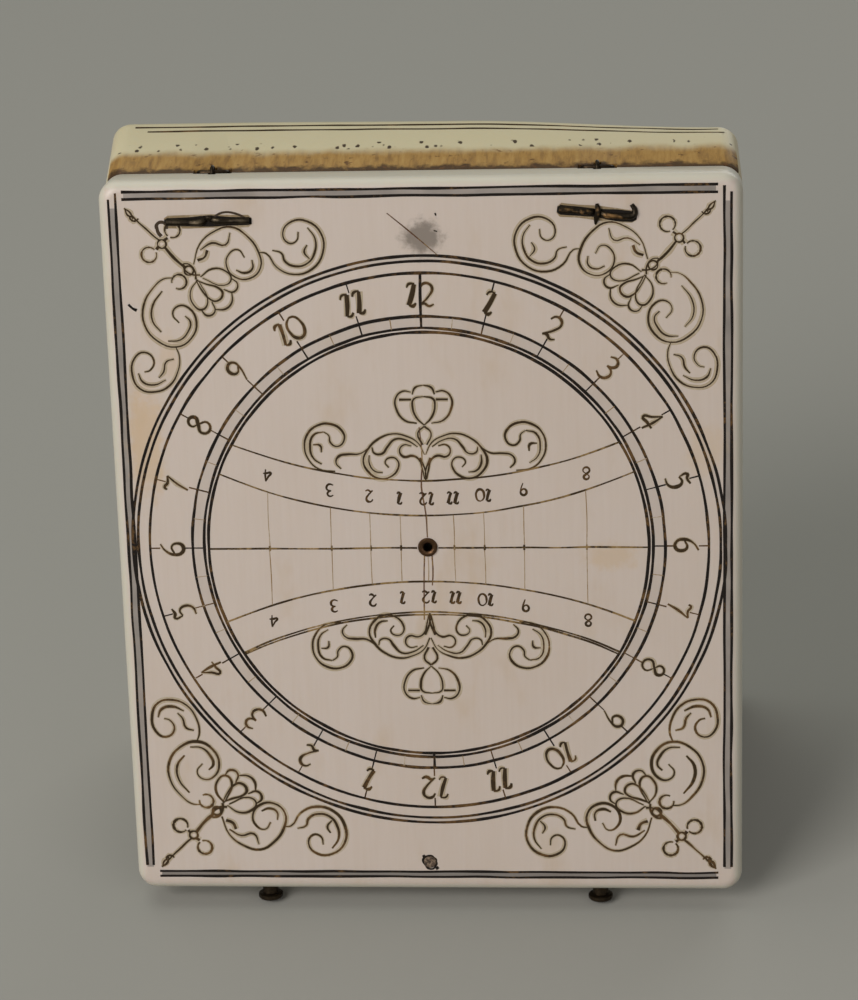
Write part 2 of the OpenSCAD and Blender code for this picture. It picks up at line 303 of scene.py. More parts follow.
def group(name, inputs, outputs):
    """A new node group with its sockets, and its two end nodes."""
    made = bpy.data.node_groups.new(name, "ShaderNodeTree")
    for way, sockets in (("INPUT", inputs), ("OUTPUT", outputs)):
        for label, kind in sockets.items():
            made.interface.new_socket(name=label, in_out=way, socket_type=f"NodeSocket{kind}")
    return made, made.nodes.new("NodeGroupInput").outputs, made.nodes.new("NodeGroupOutput").inputs


def patterned(tree, pattern, place, **values):
    """A node group placed in a material, with the material's own values."""
    look = node(tree, "ShaderNodeGroup")
    look.node_tree = pattern
    tree.links.new(place, look.inputs["Place"])
    for label, value in values.items():
        look.inputs[label].default_value = (*value, 1) if isinstance(value, tuple) else value
    return look.outputs


def relief(tree, shader, strength, distance, height):
    """The shader's surface gets the small relief of a height."""
    bump = node(tree, "ShaderNodeBump", Strength=strength, Distance=distance, Height=height)
    tree.links.new(bump.outputs[0], shader.inputs["Normal"])


# Ivory: fair and warm patches, fine grain along the leaf, and faint stains
ivory_group, given, result = group(
    "ivory", {"Place": "Vector", "Fair": "Color", "Warm": "Color", "Stain": "Color", "Stained": "Float"},
    {"Color": "Color", "Roughness": "Float", "Height": "Float"},
)
tree = ivory_group
place = given["Place"]
patches = noise(tree, place, (1, 0.6, 1), 0.09, 3)
grain = noise(tree, place, (1, 0.05, 1), 2.6, 4, 0.6)
fibres = noise(tree, place, (1, 0.12, 1), 9, 2)
blotches = noise(tree, place, (1, 0.45, 1), 0.16, 4, 0.6)
warmth = maths(tree, "MULTIPLY_ADD", grain, 0.75, maths(tree, "MULTIPLY_ADD", patches, 1.1, -0.5))
colour = mixed(tree, warmth, given["Fair"], given["Warm"])
stained = times(tree, step(tree, blotches, 0.56, 0.74), given["Stained"])
tree.links.new(mixed(tree, stained, colour, given["Stain"]), result["Color"])
tree.links.new(maths(tree, "MULTIPLY_ADD", patches, 0.25, 0.24), result["Roughness"])
tree.links.new(maths(tree, "MULTIPLY_ADD", fibres, 0.4, grain), result["Height"])


def leaf_place(tree, leaf):
    """The place on a leaf in its own millimetres, worked out from Object coordinates."""
    back = leaf.inverted()
    mapping = node(tree, "ShaderNodeMapping", Vector=node(tree, "ShaderNodeTexCoord").outputs["Object"],
                   Location=back.to_translation(), Rotation=back.to_euler(), Scale=back.to_scale())
    return mapping.outputs[0]


def ivory(name, leaf, fair, warm, stain, stained):
    """An ivory material, its place socket and its colour so far."""
    made, tree, shader = new_material(name)
    place = leaf_place(tree, leaf)
    look = patterned(tree, ivory_group, place, Fair=fair, Warm=warm, Stain=stain, Stained=stained)
    shader.inputs["Subsurface Weight"].default_value = 0.12
    shader.inputs["Subsurface Radius"].default_value = (1.0, 0.7, 0.45)
    shader.inputs["Subsurface Scale"].default_value = 0.0008
    shader.inputs["IOR"].default_value = 1.54
    tree.links.new(look["Roughness"], shader.inputs["Roughness"])
    relief(tree, shader, 0.25, 0.00003, look["Height"])
    return made, tree, place, look["Color"], shader


# Radii of the rings that are cut round the dial, from the inside out
RINGS = (21.84, 22.25, 23.43, 27.7, 28.87, 29.4)
# Places of the two border lines from the middle of the leaf, and how far the cross lines run
SIDE_LINES = (29.9, 29.2)
HINGE_LINES = (35.97, 35.25)
FREE_LINES = (35.41, 34.85)
BORDER_RUN = 28.6

upper_ivory, tree, place, colour, shader = ivory(
    "upper_ivory", UPPER, (0.545, 0.465, 0.41), (0.495, 0.405, 0.335), (0.45, 0.33, 0.21), 0.4
)
x_axis, y_axis, z_axis = node(tree, "ShaderNodeSeparateXYZ", Vector=place).outputs
across = maths(tree, "ABSOLUTE", x_axis)
along = maths(tree, "SUBTRACT", y_axis, DIAL_Y)
from_middle = maths(tree, "ABSOLUTE", along)
radius = maths(tree, "SQRT", maths(tree, "ADD", times(tree, across, across), times(tree, along, along)))
outer_side = maths(tree, "COMPARE", z_axis, UPPER_T, 0.3)
# Dirt lies between the paired lines
strips = times(tree, maths(tree, "COMPARE", across, sum(SIDE_LINES) / 2, 0.34),
               maths(tree, "LESS_THAN", from_middle, 34.4))
for middle_line, half, amount in ((sum(HINGE_LINES) / 2, 0.35, 1.0), (-sum(FREE_LINES) / 2, 0.27, 1.5)):
    strip = times(tree, maths(tree, "COMPARE", along, middle_line, half),
                  maths(tree, "LESS_THAN", across, BORDER_RUN - 0.2), amount)
    strips = maths(tree, "MAXIMUM", strips, strip)
ring_strips = maths(tree, "MAXIMUM", maths(tree, "COMPARE", radius, (RINGS[1] + RINGS[2]) / 2, 0.58),
                    maths(tree, "COMPARE", radius, (RINGS[4] + RINGS[5]) / 2, 0.25))
smear = maths(tree, "MULTIPLY_ADD", noise(tree, place, (1, 1, 1), 0.3, 3), 0.7, 0.45)
dirt = times(tree, maths(tree, "MAXIMUM", strips, times(tree, ring_strips, 0.18)), smear, outer_side)
colour = mixed(tree, dirt, colour, (0.20, 0.175, 0.155))
# The margin outside the border is rubbed pale
margin = maths(tree, "MAXIMUM", step(tree, across, 29.95, 30.6), step(tree, from_middle, 36.0, 36.6))
colour = mixed(tree, times(tree, margin, 0.75), colour, (0.515, 0.495, 0.40))
# Rust-coloured stains, and a scuffed grey one near the hinge edge
for x, y, wide, high, strength, tint in (
    (-27.5, 11, 2.2, 7, 0.55, (0.52, 0.36, 0.20)),
    (18.2, -1.0, 3.2, 1.6, 0.5, (0.50, 0.36, 0.22)),
    (27.5, 10, 2.5, 3, 0.35, (0.52, 0.38, 0.24)),
    (-24.8, 19.5, 1.2, 3.0, 0.35, (0.52, 0.38, 0.24)),
    (0.3, 31.2, 2.4, 2.1, 0.95, (0.20, 0.165, 0.135)),
):
    offset = node(tree, "ShaderNodeMapping", Vector=place,
                  Location=(-x / wide, -(y + DIAL_Y) / high, 0), Scale=(1 / wide, 1 / high, 0))
    length = node(tree, "ShaderNodeVectorMath", Vector=offset.outputs[0])
    length.operation = "LENGTH"
    edge = maths(tree, "ADD", length.outputs["Value"], sway(tree, place, 1.3, 0.9, 4, 0.65))
    colour = mixed(tree, times(tree, fall(tree, edge, 0.45, 1.1), strength, outer_side), colour, tint)
tree.links.new(colour, shader.inputs["Base Color"])

lower_ivory, tree, place, colour, shader = ivory(
    "lower_ivory", LOWER, (0.54, 0.465, 0.37), (0.48, 0.395, 0.285), (0.42, 0.29, 0.15), 0.5
)
x_axis, y_axis, z_axis = node(tree, "ShaderNodeSeparateXYZ", Vector=place).outputs
hinge_side = maths(tree, "LESS_THAN", y_axis, 0.9)
# The open grain of the hinge edge has gone yellower than the faces
colour = mixed(tree, times(tree, fall(tree, y_axis, 0.3, 2.5), 0.85), colour, (0.50, 0.445, 0.28))
# The band beside the joint is brown, in streaks that run across it, and darkest in the joint
depth = maths(tree, "ADD", z_axis, sway(tree, place, -1.7, 0.3, 4, 0.6))
band = fall(tree, depth, 2.6, 4.3)
streaks = noise(tree, place, (1, 1, 0.22), 1.5, 4, 0.65)
brown = ramp(tree, streaks, (0.28, (0.15, 0.068, 0.013)), (0.5, (0.285, 0.152, 0.03)),
             (0.75, (0.37, 0.22, 0.06)))
colour = mixed(tree, times(tree, band, hinge_side, 0.93), colour, brown)
deep = fall(tree, maths(tree, "ADD", z_axis, sway(tree, place, -2.6, 0.75, 4, 0.6)), 0.25, 1.15)
colour = mixed(tree, times(tree, deep, hinge_side, 0.9), colour, (0.03, 0.012, 0.004))
# Dark patches in the band, and open pores in a row just past it, most of them on the left
patch = step(tree, noise(tree, place, (0.7, 1, 1), 1.1, 3, 0.6), 0.60, 0.70)
colour = mixed(tree, times(tree, patch, band, hinge_side), colour, (0.10, 0.045, 0.014))
jagged = node(tree, "ShaderNodeTexNoise", Vector=place, Scale=2.5, Detail=3).outputs["Color"]
shifted = node(tree, "ShaderNodeVectorMath", _0=jagged, _1=(0.35, 0.35, 0.35), _2=place)
shifted.operation = "MULTIPLY_ADD"
slant = node(tree, "ShaderNodeMapping", Vector=shifted.outputs[0], Rotation=(0, 0.5, 0),
             Scale=(1.1, 0, 0.75))
cells = node(tree, "ShaderNodeTexVoronoi", Vector=slant.outputs[0], Scale=1.15)
pore = fall(tree, cells.outputs["Distance"], 0.20, 0.32)
leftward = maths(tree, "MULTIPLY_ADD", x_axis, 0.0035, 0.42)
rare = maths(tree, "GREATER_THAN", noise(tree, place, (1, 0, 1), 0.55, 2), leftward)
row = maths(tree, "COMPARE", z_axis, 4.5, 0.65)
pores = times(tree, pore, rare, row, hinge_side, 0.95)
colour = mixed(tree, pores, colour, (0.03, 0.014, 0.006))
shader.inputs["Specular IOR Level"].default_value = 0.2
tree.links.new(colour, shader.inputs["Base Color"])


# The inner faces were planed this far below the joint, so that their engraving never rubs
INNER = 0.03
# Radius of the round outer arrises
ARRIS = 1.2


def blank(name, thickness, towards):
    """A planed leaf with round corners and a round outer arris; towards is the side it runs to."""
    leaf = box((0, towards * LENGTH / 2, (thickness + INNER) / 2), (WIDTH, LENGTH, thickness - INNER))
    leaf.name = name
    bpy.ops.object.mode_set(mode="EDIT")
    pick_edges(leaf, lambda a, b: abs(a.z - b.z) > 1)
    bpy.ops.mesh.bevel(offset=2.0, segments=10, affect="EDGES")
    pick_edges(leaf, lambda a, b: min(a.z, b.z) > thickness - 0.001)
    bpy.ops.mesh.bevel(offset=ARRIS, segments=7, affect="EDGES")
    pick_edges(leaf, lambda a, b: max(a.z, b.z) < INNER + 0.001)
    bpy.ops.mesh.bevel(offset=0.15, segments=2, affect="EDGES")
    bpy.ops.object.mode_set(mode="OBJECT")
    return leaf


def scrape(piece):
    """The lower leaf's outer arris at the hinge was scraped by eye: full on the left, low on the
    right."""
    def smooth(value, start, end):
        part = max(0.0, min(1.0, (value - start) / (end - start)))
        return part * part * (3 - 2 * part)
    for vertex in piece.data.vertices:
        x, y, z = vertex.co
        full = 1.0 - 0.3 * smooth(x, -20, 4) - 2.1 * smooth(x, 3, 29)
        share = (1 - smooth(y, 1, 9)) * max(0.0, z / LOWER_T) ** 1.5
        vertex.co.x -= share * (0.5 * smooth(-x, 24, 31) + 0.35 * smooth(x, 24, 31))
        vertex.co.z += full * share


def hinge_notches():
    """Cutters for the room that the hinge eye and bow need in the inner arris."""
    notches = []
    for x in (LEFT_HINGE_X, RIGHT_HINGE_X):
        for radius, wide in ((0.9, 0.75), (0.52, 3.8)):
            clear()
            bpy.ops.mesh.primitive_cylinder_add(
                vertices=32, radius=radius, depth=wide, location=(x, 0, 0), rotation=(0, math.pi / 2, 0)
            )
            notches.append(added())
    return notches


upper_leaf = blank("upper_leaf_ivory", UPPER_T, -1)
PEG_X, PEG_Y = -0.7, -70.75
cut(
    upper_leaf,
    cylinder(17.2, -1, 1.0, y=DIAL_Y, sides=128),
    cylinder(0.82, -2, 6, y=DIAL_Y, sides=32),
    cylinder(0.66, -2, 6, x=PEG_X, y=PEG_Y, sides=32),
    *hinge_notches(),
)
settle(upper_leaf, UPPER, "upper_leaf", "ivory_upper", upper_ivory, "upper_leaf")

lower_leaf = blank("lower_leaf_ivory", LOWER_T, 1)
bpy.ops.object.mode_set(mode="EDIT")
for x in range(-28, 30, 2):
    bpy.ops.mesh.select_all(action="SELECT")
    bpy.ops.mesh.bisect(plane_co=(x, 0, 0), plane_no=(1, 0, 0))
for half_y in range(3, 19):
    bpy.ops.mesh.select_all(action="SELECT")
    bpy.ops.mesh.bisect(plane_co=(0, half_y / 2, 0), plane_no=(0, 1, 0))
bpy.ops.object.mode_set(mode="OBJECT")
scrape(lower_leaf)
cut(
    lower_leaf,
    cylinder(17.4, -1, 1.3, y=COMPASS_Y, sides=128),
    cylinder(16, -1, 5.4, y=COMPASS_Y, sides=128),
    cylinder(3.5, -1, 10, y=COMPASS_Y, sides=48),
    cylinder(23.7, 7.7, 10, y=COMPASS_Y, sides=128),
    *hinge_notches(),
)
settle(lower_leaf, LOWER, "lower_leaf", "ivory_lower", lower_ivory, "lower_leaf")


# ------------------------------------------------------------------------------------------
# The engraving. Every line was cut with a graver and rubbed with black or brown pigment,
# which has worn and broken away in places. A stroke here is the pigment that stands in one
# cut: a flat ribbon that shows a hair above the ivory and swells and thins as the hand did.

hand = random.Random(1660)
pigment_group, given, result = group(
    "pigment", {"Place": "Vector", "Dark": "Color", "Brown": "Color", "Bare": "Color", "Wear": "Float"},
    {"Color": "Color"},
)
tree = pigment_group
place = given["Place"]
wear = maths(tree, "ADD", given["Wear"], sway(tree, place, 2.1, 0.24, 3, 0.6))
wear = maths(tree, "ADD", wear, sway(tree, place, 1.1, 2.2, 3, 0.7))
colour = mixed(tree, step(tree, wear, 0.25, 0.6), given["Dark"], given["Brown"])
colour = mixed(tree, step(tree, wear, 0.65, 0.95), colour, given["Bare"])
tree.links.new(colour, result["Color"])


def pigment(name, leaf, dark, brown, bare, wear):
    """Pigment of two colours that wears away to bare ivory."""
    made, tree, shader = new_material(name)
    look = patterned(tree, pigment_group, leaf_place(tree, leaf), Dark=dark, Brown=brown, Bare=bare,
                     Wear=wear)
    shader.inputs["Roughness"].default_value = 0.8
    shader.inputs["Specular IOR Level"].default_value = 0.08
    tree.links.new(look["Color"], shader.inputs["Base Color"])
    return made


BLACK = (0.014, 0.011, 0.009)
SEPIA = (0.038, 0.024, 0.012)
UMBER = (0.10, 0.055, 0.022)
OCHRE = (0.24, 0.155, 0.065)
BARE = (0.45, 0.37, 0.28)
FAINT = (0.33, 0.25, 0.16)


def engrave(name, strokes, width, material, leaf, level, body, slot, lift=0.02):
    """Pigment strokes on a flat face at z = level. Each stroke is (points, kind), where kind is
    "line" for a steady cut, "swell" for one that thickens in its middle, "bold" for a broad one,
    "worn" for one with soft ends, and "ring" for a closed one."""
    clear()
    curve = bpy.data.curves.new(name, "CURVE")
    curve.dimensions = "3D"
    curve.bevel_depth = width / 2
    curve.bevel_resolution = 0
    curve.resolution_u = 4
    curve.use_fill_caps = True
    for points, kind in strokes:
        spline = curve.splines.new("BEZIER")
        spline.bezier_points.add(len(points) - 1)
        spline.use_cyclic_u = kind == "ring"
        last = len(points) - 1
        for index, (bead, point) in enumerate(zip(spline.bezier_points, points)):
            bead.co = (point[0], point[1], 0)
            bead.handle_left_type = bead.handle_right_type = "AUTO"
            swell = {"swell": 0.6 + 0.6 * math.sin(math.pi * index / last), "bold": 1.5,
                     "worn": 0.5 if index in (0, last) else 1}.get(kind, 1)
            bead.radius = swell * hand.uniform(0.8, 1.2)
    lines = bpy.data.objects.new(name, curve)
    bpy.context.scene.collection.objects.link(lines)
    only(lines)
    bpy.ops.object.convert(target="MESH")
    lines = bpy.context.object
    lines.data.transform(Matrix.Translation((0, 0, level)) @ Matrix.Diagonal((1, 1, 2 * lift / width, 1)))
    settle(lines, leaf, body, slot, material)
    return lines


def straight(start, end, pitch=3.0, shake=0.025):
    """A ruled line with the small shake of a hand."""
    start, end = Vector(start), Vector(end)
    count = max(2, round((end - start).length / pitch))
    side = (end - start).orthogonal().normalized()
    return [tuple(start.lerp(end, i / count) + side * hand.gauss(0, shake)) for i in range(count + 1)]


def arc(x, y, radius, start, end, count=None, shake=0.0):
    """Points on an arc from one angle to another, in degrees anticlockwise from +x."""
    count = count or max(4, round(abs(end - start) / 12))
    points = []
    for i in range(count + 1):
        turn = math.radians(start + (end - start) * i / count)
        reach = radius + hand.gauss(0, shake)
        points.append((x + reach * math.cos(turn), y + reach * math.sin(turn)))
    return points


def ring(x, y, radius, count=72, shake=0.015):
    """A closed ring cut with compasses."""
    return arc(x, y, radius, 0, 360 - 360 / count, count - 1, shake), "ring"


def polar(radius, degrees):
    """The point at a radius and an angle anticlockwise from +x."""
    turn = math.radians(degrees)
    return radius * math.cos(turn), radius * math.sin(turn)


def spoke(near, far, degrees):
    """A cut that points away from the middle, from one radius to another."""
    return [polar(near, degrees), polar(far, degrees)], "line"


def border():
    """Paired lines along the four sides of a leaf, measured from its middle."""
    strokes = []
    for line, gap in zip(SIDE_LINES, (0.0, 0.6)):
        for side in (-1, 1):
            ends = (side * line, HINGE_LINES[0] - 0.7 + gap), (side * line, 1.2 - FREE_LINES[0])
            strokes.append((straight(*ends), "line"))
    for y in (*HINGE_LINES, *[-line for line in FREE_LINES]):
        strokes.append((straight((-BORDER_RUN, y), (BORDER_RUN, y)), "line"))
    return strokes


# How the maker drew each numeral, on a body one unit high
NUMERALS = {
    "0": [[(0.32, 1.0), (0.08, 0.8), (0.02, 0.45), (0.15, 0.1), (0.4, 0.02), (0.62, 0.25), (0.64, 0.65),
           (0.5, 0.93), (0.3, 0.99)]],
    "1": [[(0.02, 0.8), (0.12, 0.96), (0.36, 0.97)], [(0.34, 0.95), (0.24, 0.5), (0.1, 0.06)],
          [(0.1, 0.06), (0.28, 0.03), (0.4, 0.16)]],
    "2": [[(0.05, 0.78), (0.2, 0.97), (0.45, 0.95), (0.56, 0.74), (0.42, 0.45), (0.04, 0.06)],
          [(0.04, 0.06), (0.2, 0.14), (0.42, 0.02), (0.62, 0.1)]],
    "3": [[(0.04, 0.9), (0.3, 1.0), (0.5, 0.82), (0.4, 0.6), (0.2, 0.54)],
          [(0.2, 0.54), (0.5, 0.46), (0.56, 0.22), (0.34, 0.0), (0.02, 0.08)]],
    "4": [[(0.42, 1.0), (0.2, 0.6), (0.0, 0.3), (0.3, 0.32), (0.62, 0.34)],
          [(0.42, 1.0), (0.44, 0.5), (0.4, 0.0)]],
    "5": [[(0.56, 0.98), (0.3, 0.9), (0.12, 0.96), (0.14, 0.6)],
          [(0.14, 0.6), (0.4, 0.66), (0.54, 0.4), (0.4, 0.08), (0.06, 0.02)]],
    "6": [[(0.52, 0.98), (0.22, 0.78), (0.04, 0.4), (0.14, 0.06), (0.42, 0.02), (0.54, 0.28), (0.4, 0.5),
           (0.1, 0.4)]],
    "7": [[(0.0, 0.86), (0.08, 0.98), (0.3, 0.9), (0.6, 0.98)], [(0.6, 0.98), (0.36, 0.5), (0.2, 0.0)]],
    "8": [[(0.3, 0.55), (0.08, 0.75), (0.28, 0.99), (0.5, 0.8), (0.3, 0.55), (0.04, 0.26), (0.28, 0.0),
           (0.56, 0.24), (0.3, 0.55)]],
    "9": [[(0.5, 0.66), (0.28, 0.48), (0.06, 0.7), (0.22, 0.98), (0.48, 0.9), (0.52, 0.6), (0.34, 0.0)]],
}
ADVANCE = {digit: 0.52 if digit == "1" else 0.78 for digit in NUMERALS}


def number(text, x, y, height, turn):
    """Strokes of a number centred on a point, turned by degrees anticlockwise."""
    wide = sum(ADVANCE[digit] for digit in text) - 0.12
    pen = -wide / 2
    spin = Matrix.Rotation(math.radians(turn), 2)
    strokes = []
    for digit in text:
        for line in NUMERALS[digit]:
            points = [spin @ Vector(((pen + px) * height, (py - 0.5) * height)) for px, py in line]
            kind = "bold" if digit == "1" and len(line) == 3 and line[1][1] == 0.5 else "swell"
            strokes.append(([(x + p.x, y + p.y) for p in points], kind))
        pen += ADVANCE[digit]
    return strokes


# --- The hour dial on the outer face of the upper leaf: 24 hours round, and a polar dial inside
HOUR_RADIUS = 25.55
ring_strokes = [ring(0, 0, radius) for radius in RINGS]
frame_strokes = border()
fine_strokes = []
half_strokes = []
hour_strokes = []
for half_hour in range(48):
    turn = 90 - 7.5 * half_hour
    if half_hour % 2:
        half_strokes.append(spoke(RINGS[1], RINGS[2], turn))
        continue
    fine_strokes.append(spoke(RINGS[1], RINGS[2], turn))
    if half_hour:
        fine_strokes.append(spoke(RINGS[2], RINGS[2] + 0.9, turn))
        fine_strokes.append(spoke(RINGS[3] - 1.0, RINGS[3], turn))
    hour = (half_hour // 2) % 12 or 12
    hour_strokes += number(str(hour), *polar(HOUR_RADIUS, turn), 2.35, turn - 90)
frame_strokes.append((straight((0, RINGS[1]), (0, RINGS[3])), "line"))
frame_strokes.append((straight((0, -RINGS[0]), (0, -RINGS[2])), "line"))

# The polar dial's hour lines stand at the tangent of the hour angle
STYLE_HEIGHT = 10.6
HOUR_STEP = 14.0
POLAR_ARCS = ((49.5, 6.85, 1), (49.5, 3.25, 1), (52.0, -3.6, -1), (44.0, -6.8, -1), (44.0, -7.05, -1))
polar_strokes = []
for radius, y, way in POLAR_ARCS:
    centre = y + way * radius
    meets = (centre * centre + radius * radius - RINGS[0] ** 2) / (2 * abs(centre) * radius)
    half = math.degrees(math.acos(meets))
    polar_strokes.append((arc(0, centre, radius, -90 * way - half, -90 * way + half, 14, 0.02), "line"))
for side in (-1, 1):
    polar_strokes.append((straight((side * RINGS[0], -0.1), (side * 1.05, -0.1)), "line"))
faint_strokes = []
stamp_strokes = []
for place_index, label in enumerate(("4", "3", "2", "1", "12", "11", "10", "9", "8")):
    x = STYLE_HEIGHT * math.tan(math.radians(HOUR_STEP * (place_index - 4)))
    rise = x * x / 99
    for end, near in ((3.25 + rise, 1.05), (-3.6 - rise, -1.05)):
        faint_strokes.append((straight((x, end), (x, near if abs(x) < 1 else 0)), "line"))
    if abs(x) > 1:
        polar_strokes.append(([(x, -0.35), (x, 0.2)], "line"))
    stamp_strokes += number(label, x, 5.0 + rise, 1.25, 180)
    stamp_strokes += number(label, x, -5.2 - rise, 1.25, 180)


# --- The scrolls: a flower spray in each corner, and one above and one below the polar dial.
# A corner's lines start at the tip of its stem, x along one side of the leaf and y along the other.
STEM = [
    ([(0, 0), (0.6, 0.45), (0.8, 1.1)], "swell"), ([(0.1, 0.1), (0.35, 0.7), (1.0, 0.9)], "swell"),
    (arc(0.95, 0.85, 0.42, 200, 20), "swell"),
    ([(0.7, 0.7), (1.4, 1.45), (2.1, 2.1), (2.8, 2.8), (3.3, 3.2)], "line"), (ring(3.5, 3.55, 0.42, 12, 0)),
    ([(3.8, 3.9), (4.5, 4.8), (5.2, 5.5), (5.7, 5.9)], "bold"), (ring(6.0, 6.2, 0.45, 12, 0)),
    ([(6.65, 7.15), (7.6, 7.55), (8.8, 7.95), (9.2, 8.5), (8.6, 9.25), (7.85, 9.0), (7.2, 8.2),
      (6.65, 7.15)], "swell"),
    ([(10.1, 8.45), (10.05, 9.4), (9.4, 10.05), (8.45, 10.1)], "swell"),
]
HALF_STEM = [
    (arc(4.6, 2.2, 0.74, 110, -230), "swell"), ([(3.75, 3.2), (4.1, 2.95)], "bold"),
    ([(5.5, 5.5), (6.1, 5.6), (6.6, 6.3), (6.65, 7.1)], "line"),
    ([(7.1, 6.85), (8.3, 6.05), (9.6, 6.3), (10.1, 7.1), (9.35, 7.7), (7.3, 6.95)], "swell"),
    ([(10.1, 7.0), (10.7, 7.6), (10.3, 8.35), (9.3, 8.1)], "swell"),
]
SIDE_SPRAY = [
    (arc(7.3, 5.0, 0.72, -30, 280), "swell"),
    ([(6.9, 4.4), (7.0, 3.5), (7.8, 2.5), (9.6, 1.4), (11.6, 1.4), (13.2, 2.6), (13.8, 4.4), (12.95, 5.9),
      (11.3, 6.5), (9.9, 5.8), (9.7, 4.8), (10.5, 4.2), (11.4, 4.8)], "swell"),
    ([(8.2, 3.3), (9.6, 2.3), (11.2, 2.2), (12.3, 3.0)], "swell"),
    ([(13.2, 3.6), (13.1, 4.8), (12.3, 5.6), (11.3, 5.9), (10.7, 5.4)], "swell"),
    ([(13.7, 4.3), (14.8, 4.65), (16.3, 4.4), (17.7, 3.5), (18.3, 2.1), (18.0, 0.6), (16.6, -0.1),
      (14.9, 0.2), (14.3, 1.2), (15.1, 2.1), (16.1, 1.7), (16.3, 1.1)], "swell"),
    ([(17.1, 3.2), (17.6, 2.0), (17.3, 0.9), (16.4, 0.5)], "swell"),
    ([(15.0, 4.1), (15.3, 3.3), (16.3, 3.0), (16.9, 2.5)], "swell"),
]
FOOT_SPRAY = [
    ([(6.5, 5.6), (7.2, 3.6), (8.7, 2.35), (10.3, 1.95), (11.7, 2.75), (12.85, 4.4), (13.0, 6.0),
      (11.9, 7.05), (10.5, 6.9), (9.7, 5.8), (10.0, 4.6), (10.9, 4.2), (11.5, 5.0)], "swell"),
    ([(6.9, 5.2), (7.6, 4.9), (7.9, 4.2)], "bold"),
    ([(7.2, 4.2), (8.4, 3.5), (9.7, 3.7), (10.2, 2.5)], "swell"),
    ([(12.2, 5.2), (12.2, 6.1), (11.4, 6.5), (10.6, 6.2)], "swell"),
    ([(12.9, 4.5), (13.6, 4.6), (14.6, 6.0), (16.2, 6.7), (18.0, 6.2), (19.1, 4.6), (19.0, 2.7), (17.7, 1.5),
      (16.2, 1.5), (15.3, 2.6), (15.8, 3.6), (16.6, 3.4), (16.8, 2.5)], "swell"),
    ([(14.2, 4.3), (15.1, 4.6), (15.4, 5.4), (16.4, 5.9), (17.6, 5.6), (18.3, 4.6), (18.4, 3.2),
      (17.7, 2.1)], "swell"),
    ([(17.6, 3.8), (17.3, 4.5), (17.8, 5.2)], "swell"),
]
TIP = 2.6
corner_strokes = []
for right in (-1, 1):
    for up in (-1, 1):
        def corner(points, swap):
            turned_points = [(y, x) for x, y in points] if swap else points
            return [(right * (WIDTH / 2 - TIP - x), up * (LENGTH / 2 - TIP - y)) for x, y in turned_points]
        corner_strokes += [(corner(points, False), kind) for points, kind in STEM]
        for swap, spray in ((False, FOOT_SPRAY), (True, SIDE_SPRAY)):
            corner_strokes += [(corner(points, swap), kind) for points, kind in HALF_STEM + spray]

# A middle spray's lines start at the foot of its stem, x to one side and y along the stem
MIDDLE_SPRAY = [
    ([(0.05, 2.6), (0.7, 3.85), (1.8, 4.5), (3.1, 4.75), (4.6, 4.2), (5.6, 3.2), (6.1, 2.0), (5.6, 0.85),
      (4.6, 0.2), (3.5, 0.35), (2.7, 1.2), (2.7, 2.0), (3.3, 2.35), (3.95, 1.9), (3.6, 1.3)], "swell"),
    ([(0.7, 3.4), (1.7, 4.05), (2.9, 4.2), (3.7, 3.4), (4.2, 2.75), (5.0, 2.8), (5.2, 3.4)], "swell"),
    ([(5.5, 2.6), (5.5, 1.7), (5.0, 0.95), (4.2, 0.8)], "swell"),
    ([(0.1, 0.1), (0.3, 1.1), (0.6, 2.1), (1.2, 2.5), (2.1, 2.4), (2.5, 3.0), (2.1, 3.6),
      (1.3, 3.5)], "swell"),
    ([(0.0, 0.0), (0.0, 0.9), (-0.5, 2.3)], "line"),
    ([(5.4, 3.45), (6.4, 2.75), (7.6, 2.7), (8.5, 2.5), (8.8, 1.85), (8.3, 1.2)], "swell"),
    ([(8.9, 0.95), (10.5, 1.2), (11.5, 2.2), (11.85, 3.4), (11.5, 4.8), (10.5, 5.65), (9.2, 5.8),
      (8.1, 5.1), (7.9, 4.2), (8.6, 3.5), (9.3, 3.95), (9.4, 4.6), (9.9, 5.0)], "swell"),
    ([(9.9, 5.0), (10.9, 4.7), (11.3, 3.4), (11.0, 2.3), (10.2, 1.7)], "swell"),
    ([(10.2, 2.9), (10.3, 3.6), (11.0, 3.7)], "swell"),
    ([(0.0, 5.5), (0.65, 4.8), (0.2, 3.6)], "line"),
    ([(0.7, 5.8), (1.9, 6.1), (2.7, 7.3), (2.7, 8.4), (2.0, 9.05), (1.2, 8.95)], "swell"),
    ([(1.2, 8.2), (2.4, 8.2)], "line"),
    ([(0.0, 5.6), (0.75, 6.4), (1.1, 7.6), (0.95, 8.25), (0.0, 8.5)], "swell"),
    ([(1.1, 8.7), (0.8, 9.4), (0.0, 9.65)], "swell"),
]
middle_strokes = []
for up in (1, -1):
    for side in (1, -1):
        middle_strokes += [
            ([(side * x, up * (6.9 + y)) for x, y in points], kind) for points, kind in MIDDLE_SPRAY
        ]

# Short black marks near the hinge edge
mark_strokes = [
    ([(-28.5, 24.9), (-28.1, 24.5), (-27.7, 24.3)], "bold"), ([(1.6, 33.4), (1.75, 33.45)], "bold"),
    ([(1.45, 31.85), (1.8, 31.75)], "swell"),
]
# Hair cracks that have filled with brown run up and down from the centre hole
crack_strokes = [
    ([(-0.5, 12.3), (-0.3, 9.0), (-0.45, 6.2), (-0.1, 3.5), (0.0, 1.0)], "line"),
    ([(-0.35, -0.9), (-0.45, -3.0), (-0.55, -7.6)], "line"),
    ([(0.4, -0.9), (0.45, -2.6), (0.35, -4.0)], "line"),
    ([(-3.0, 33.6), (-1.0, 31.9), (1.7, 29.5)], "swell"),
]


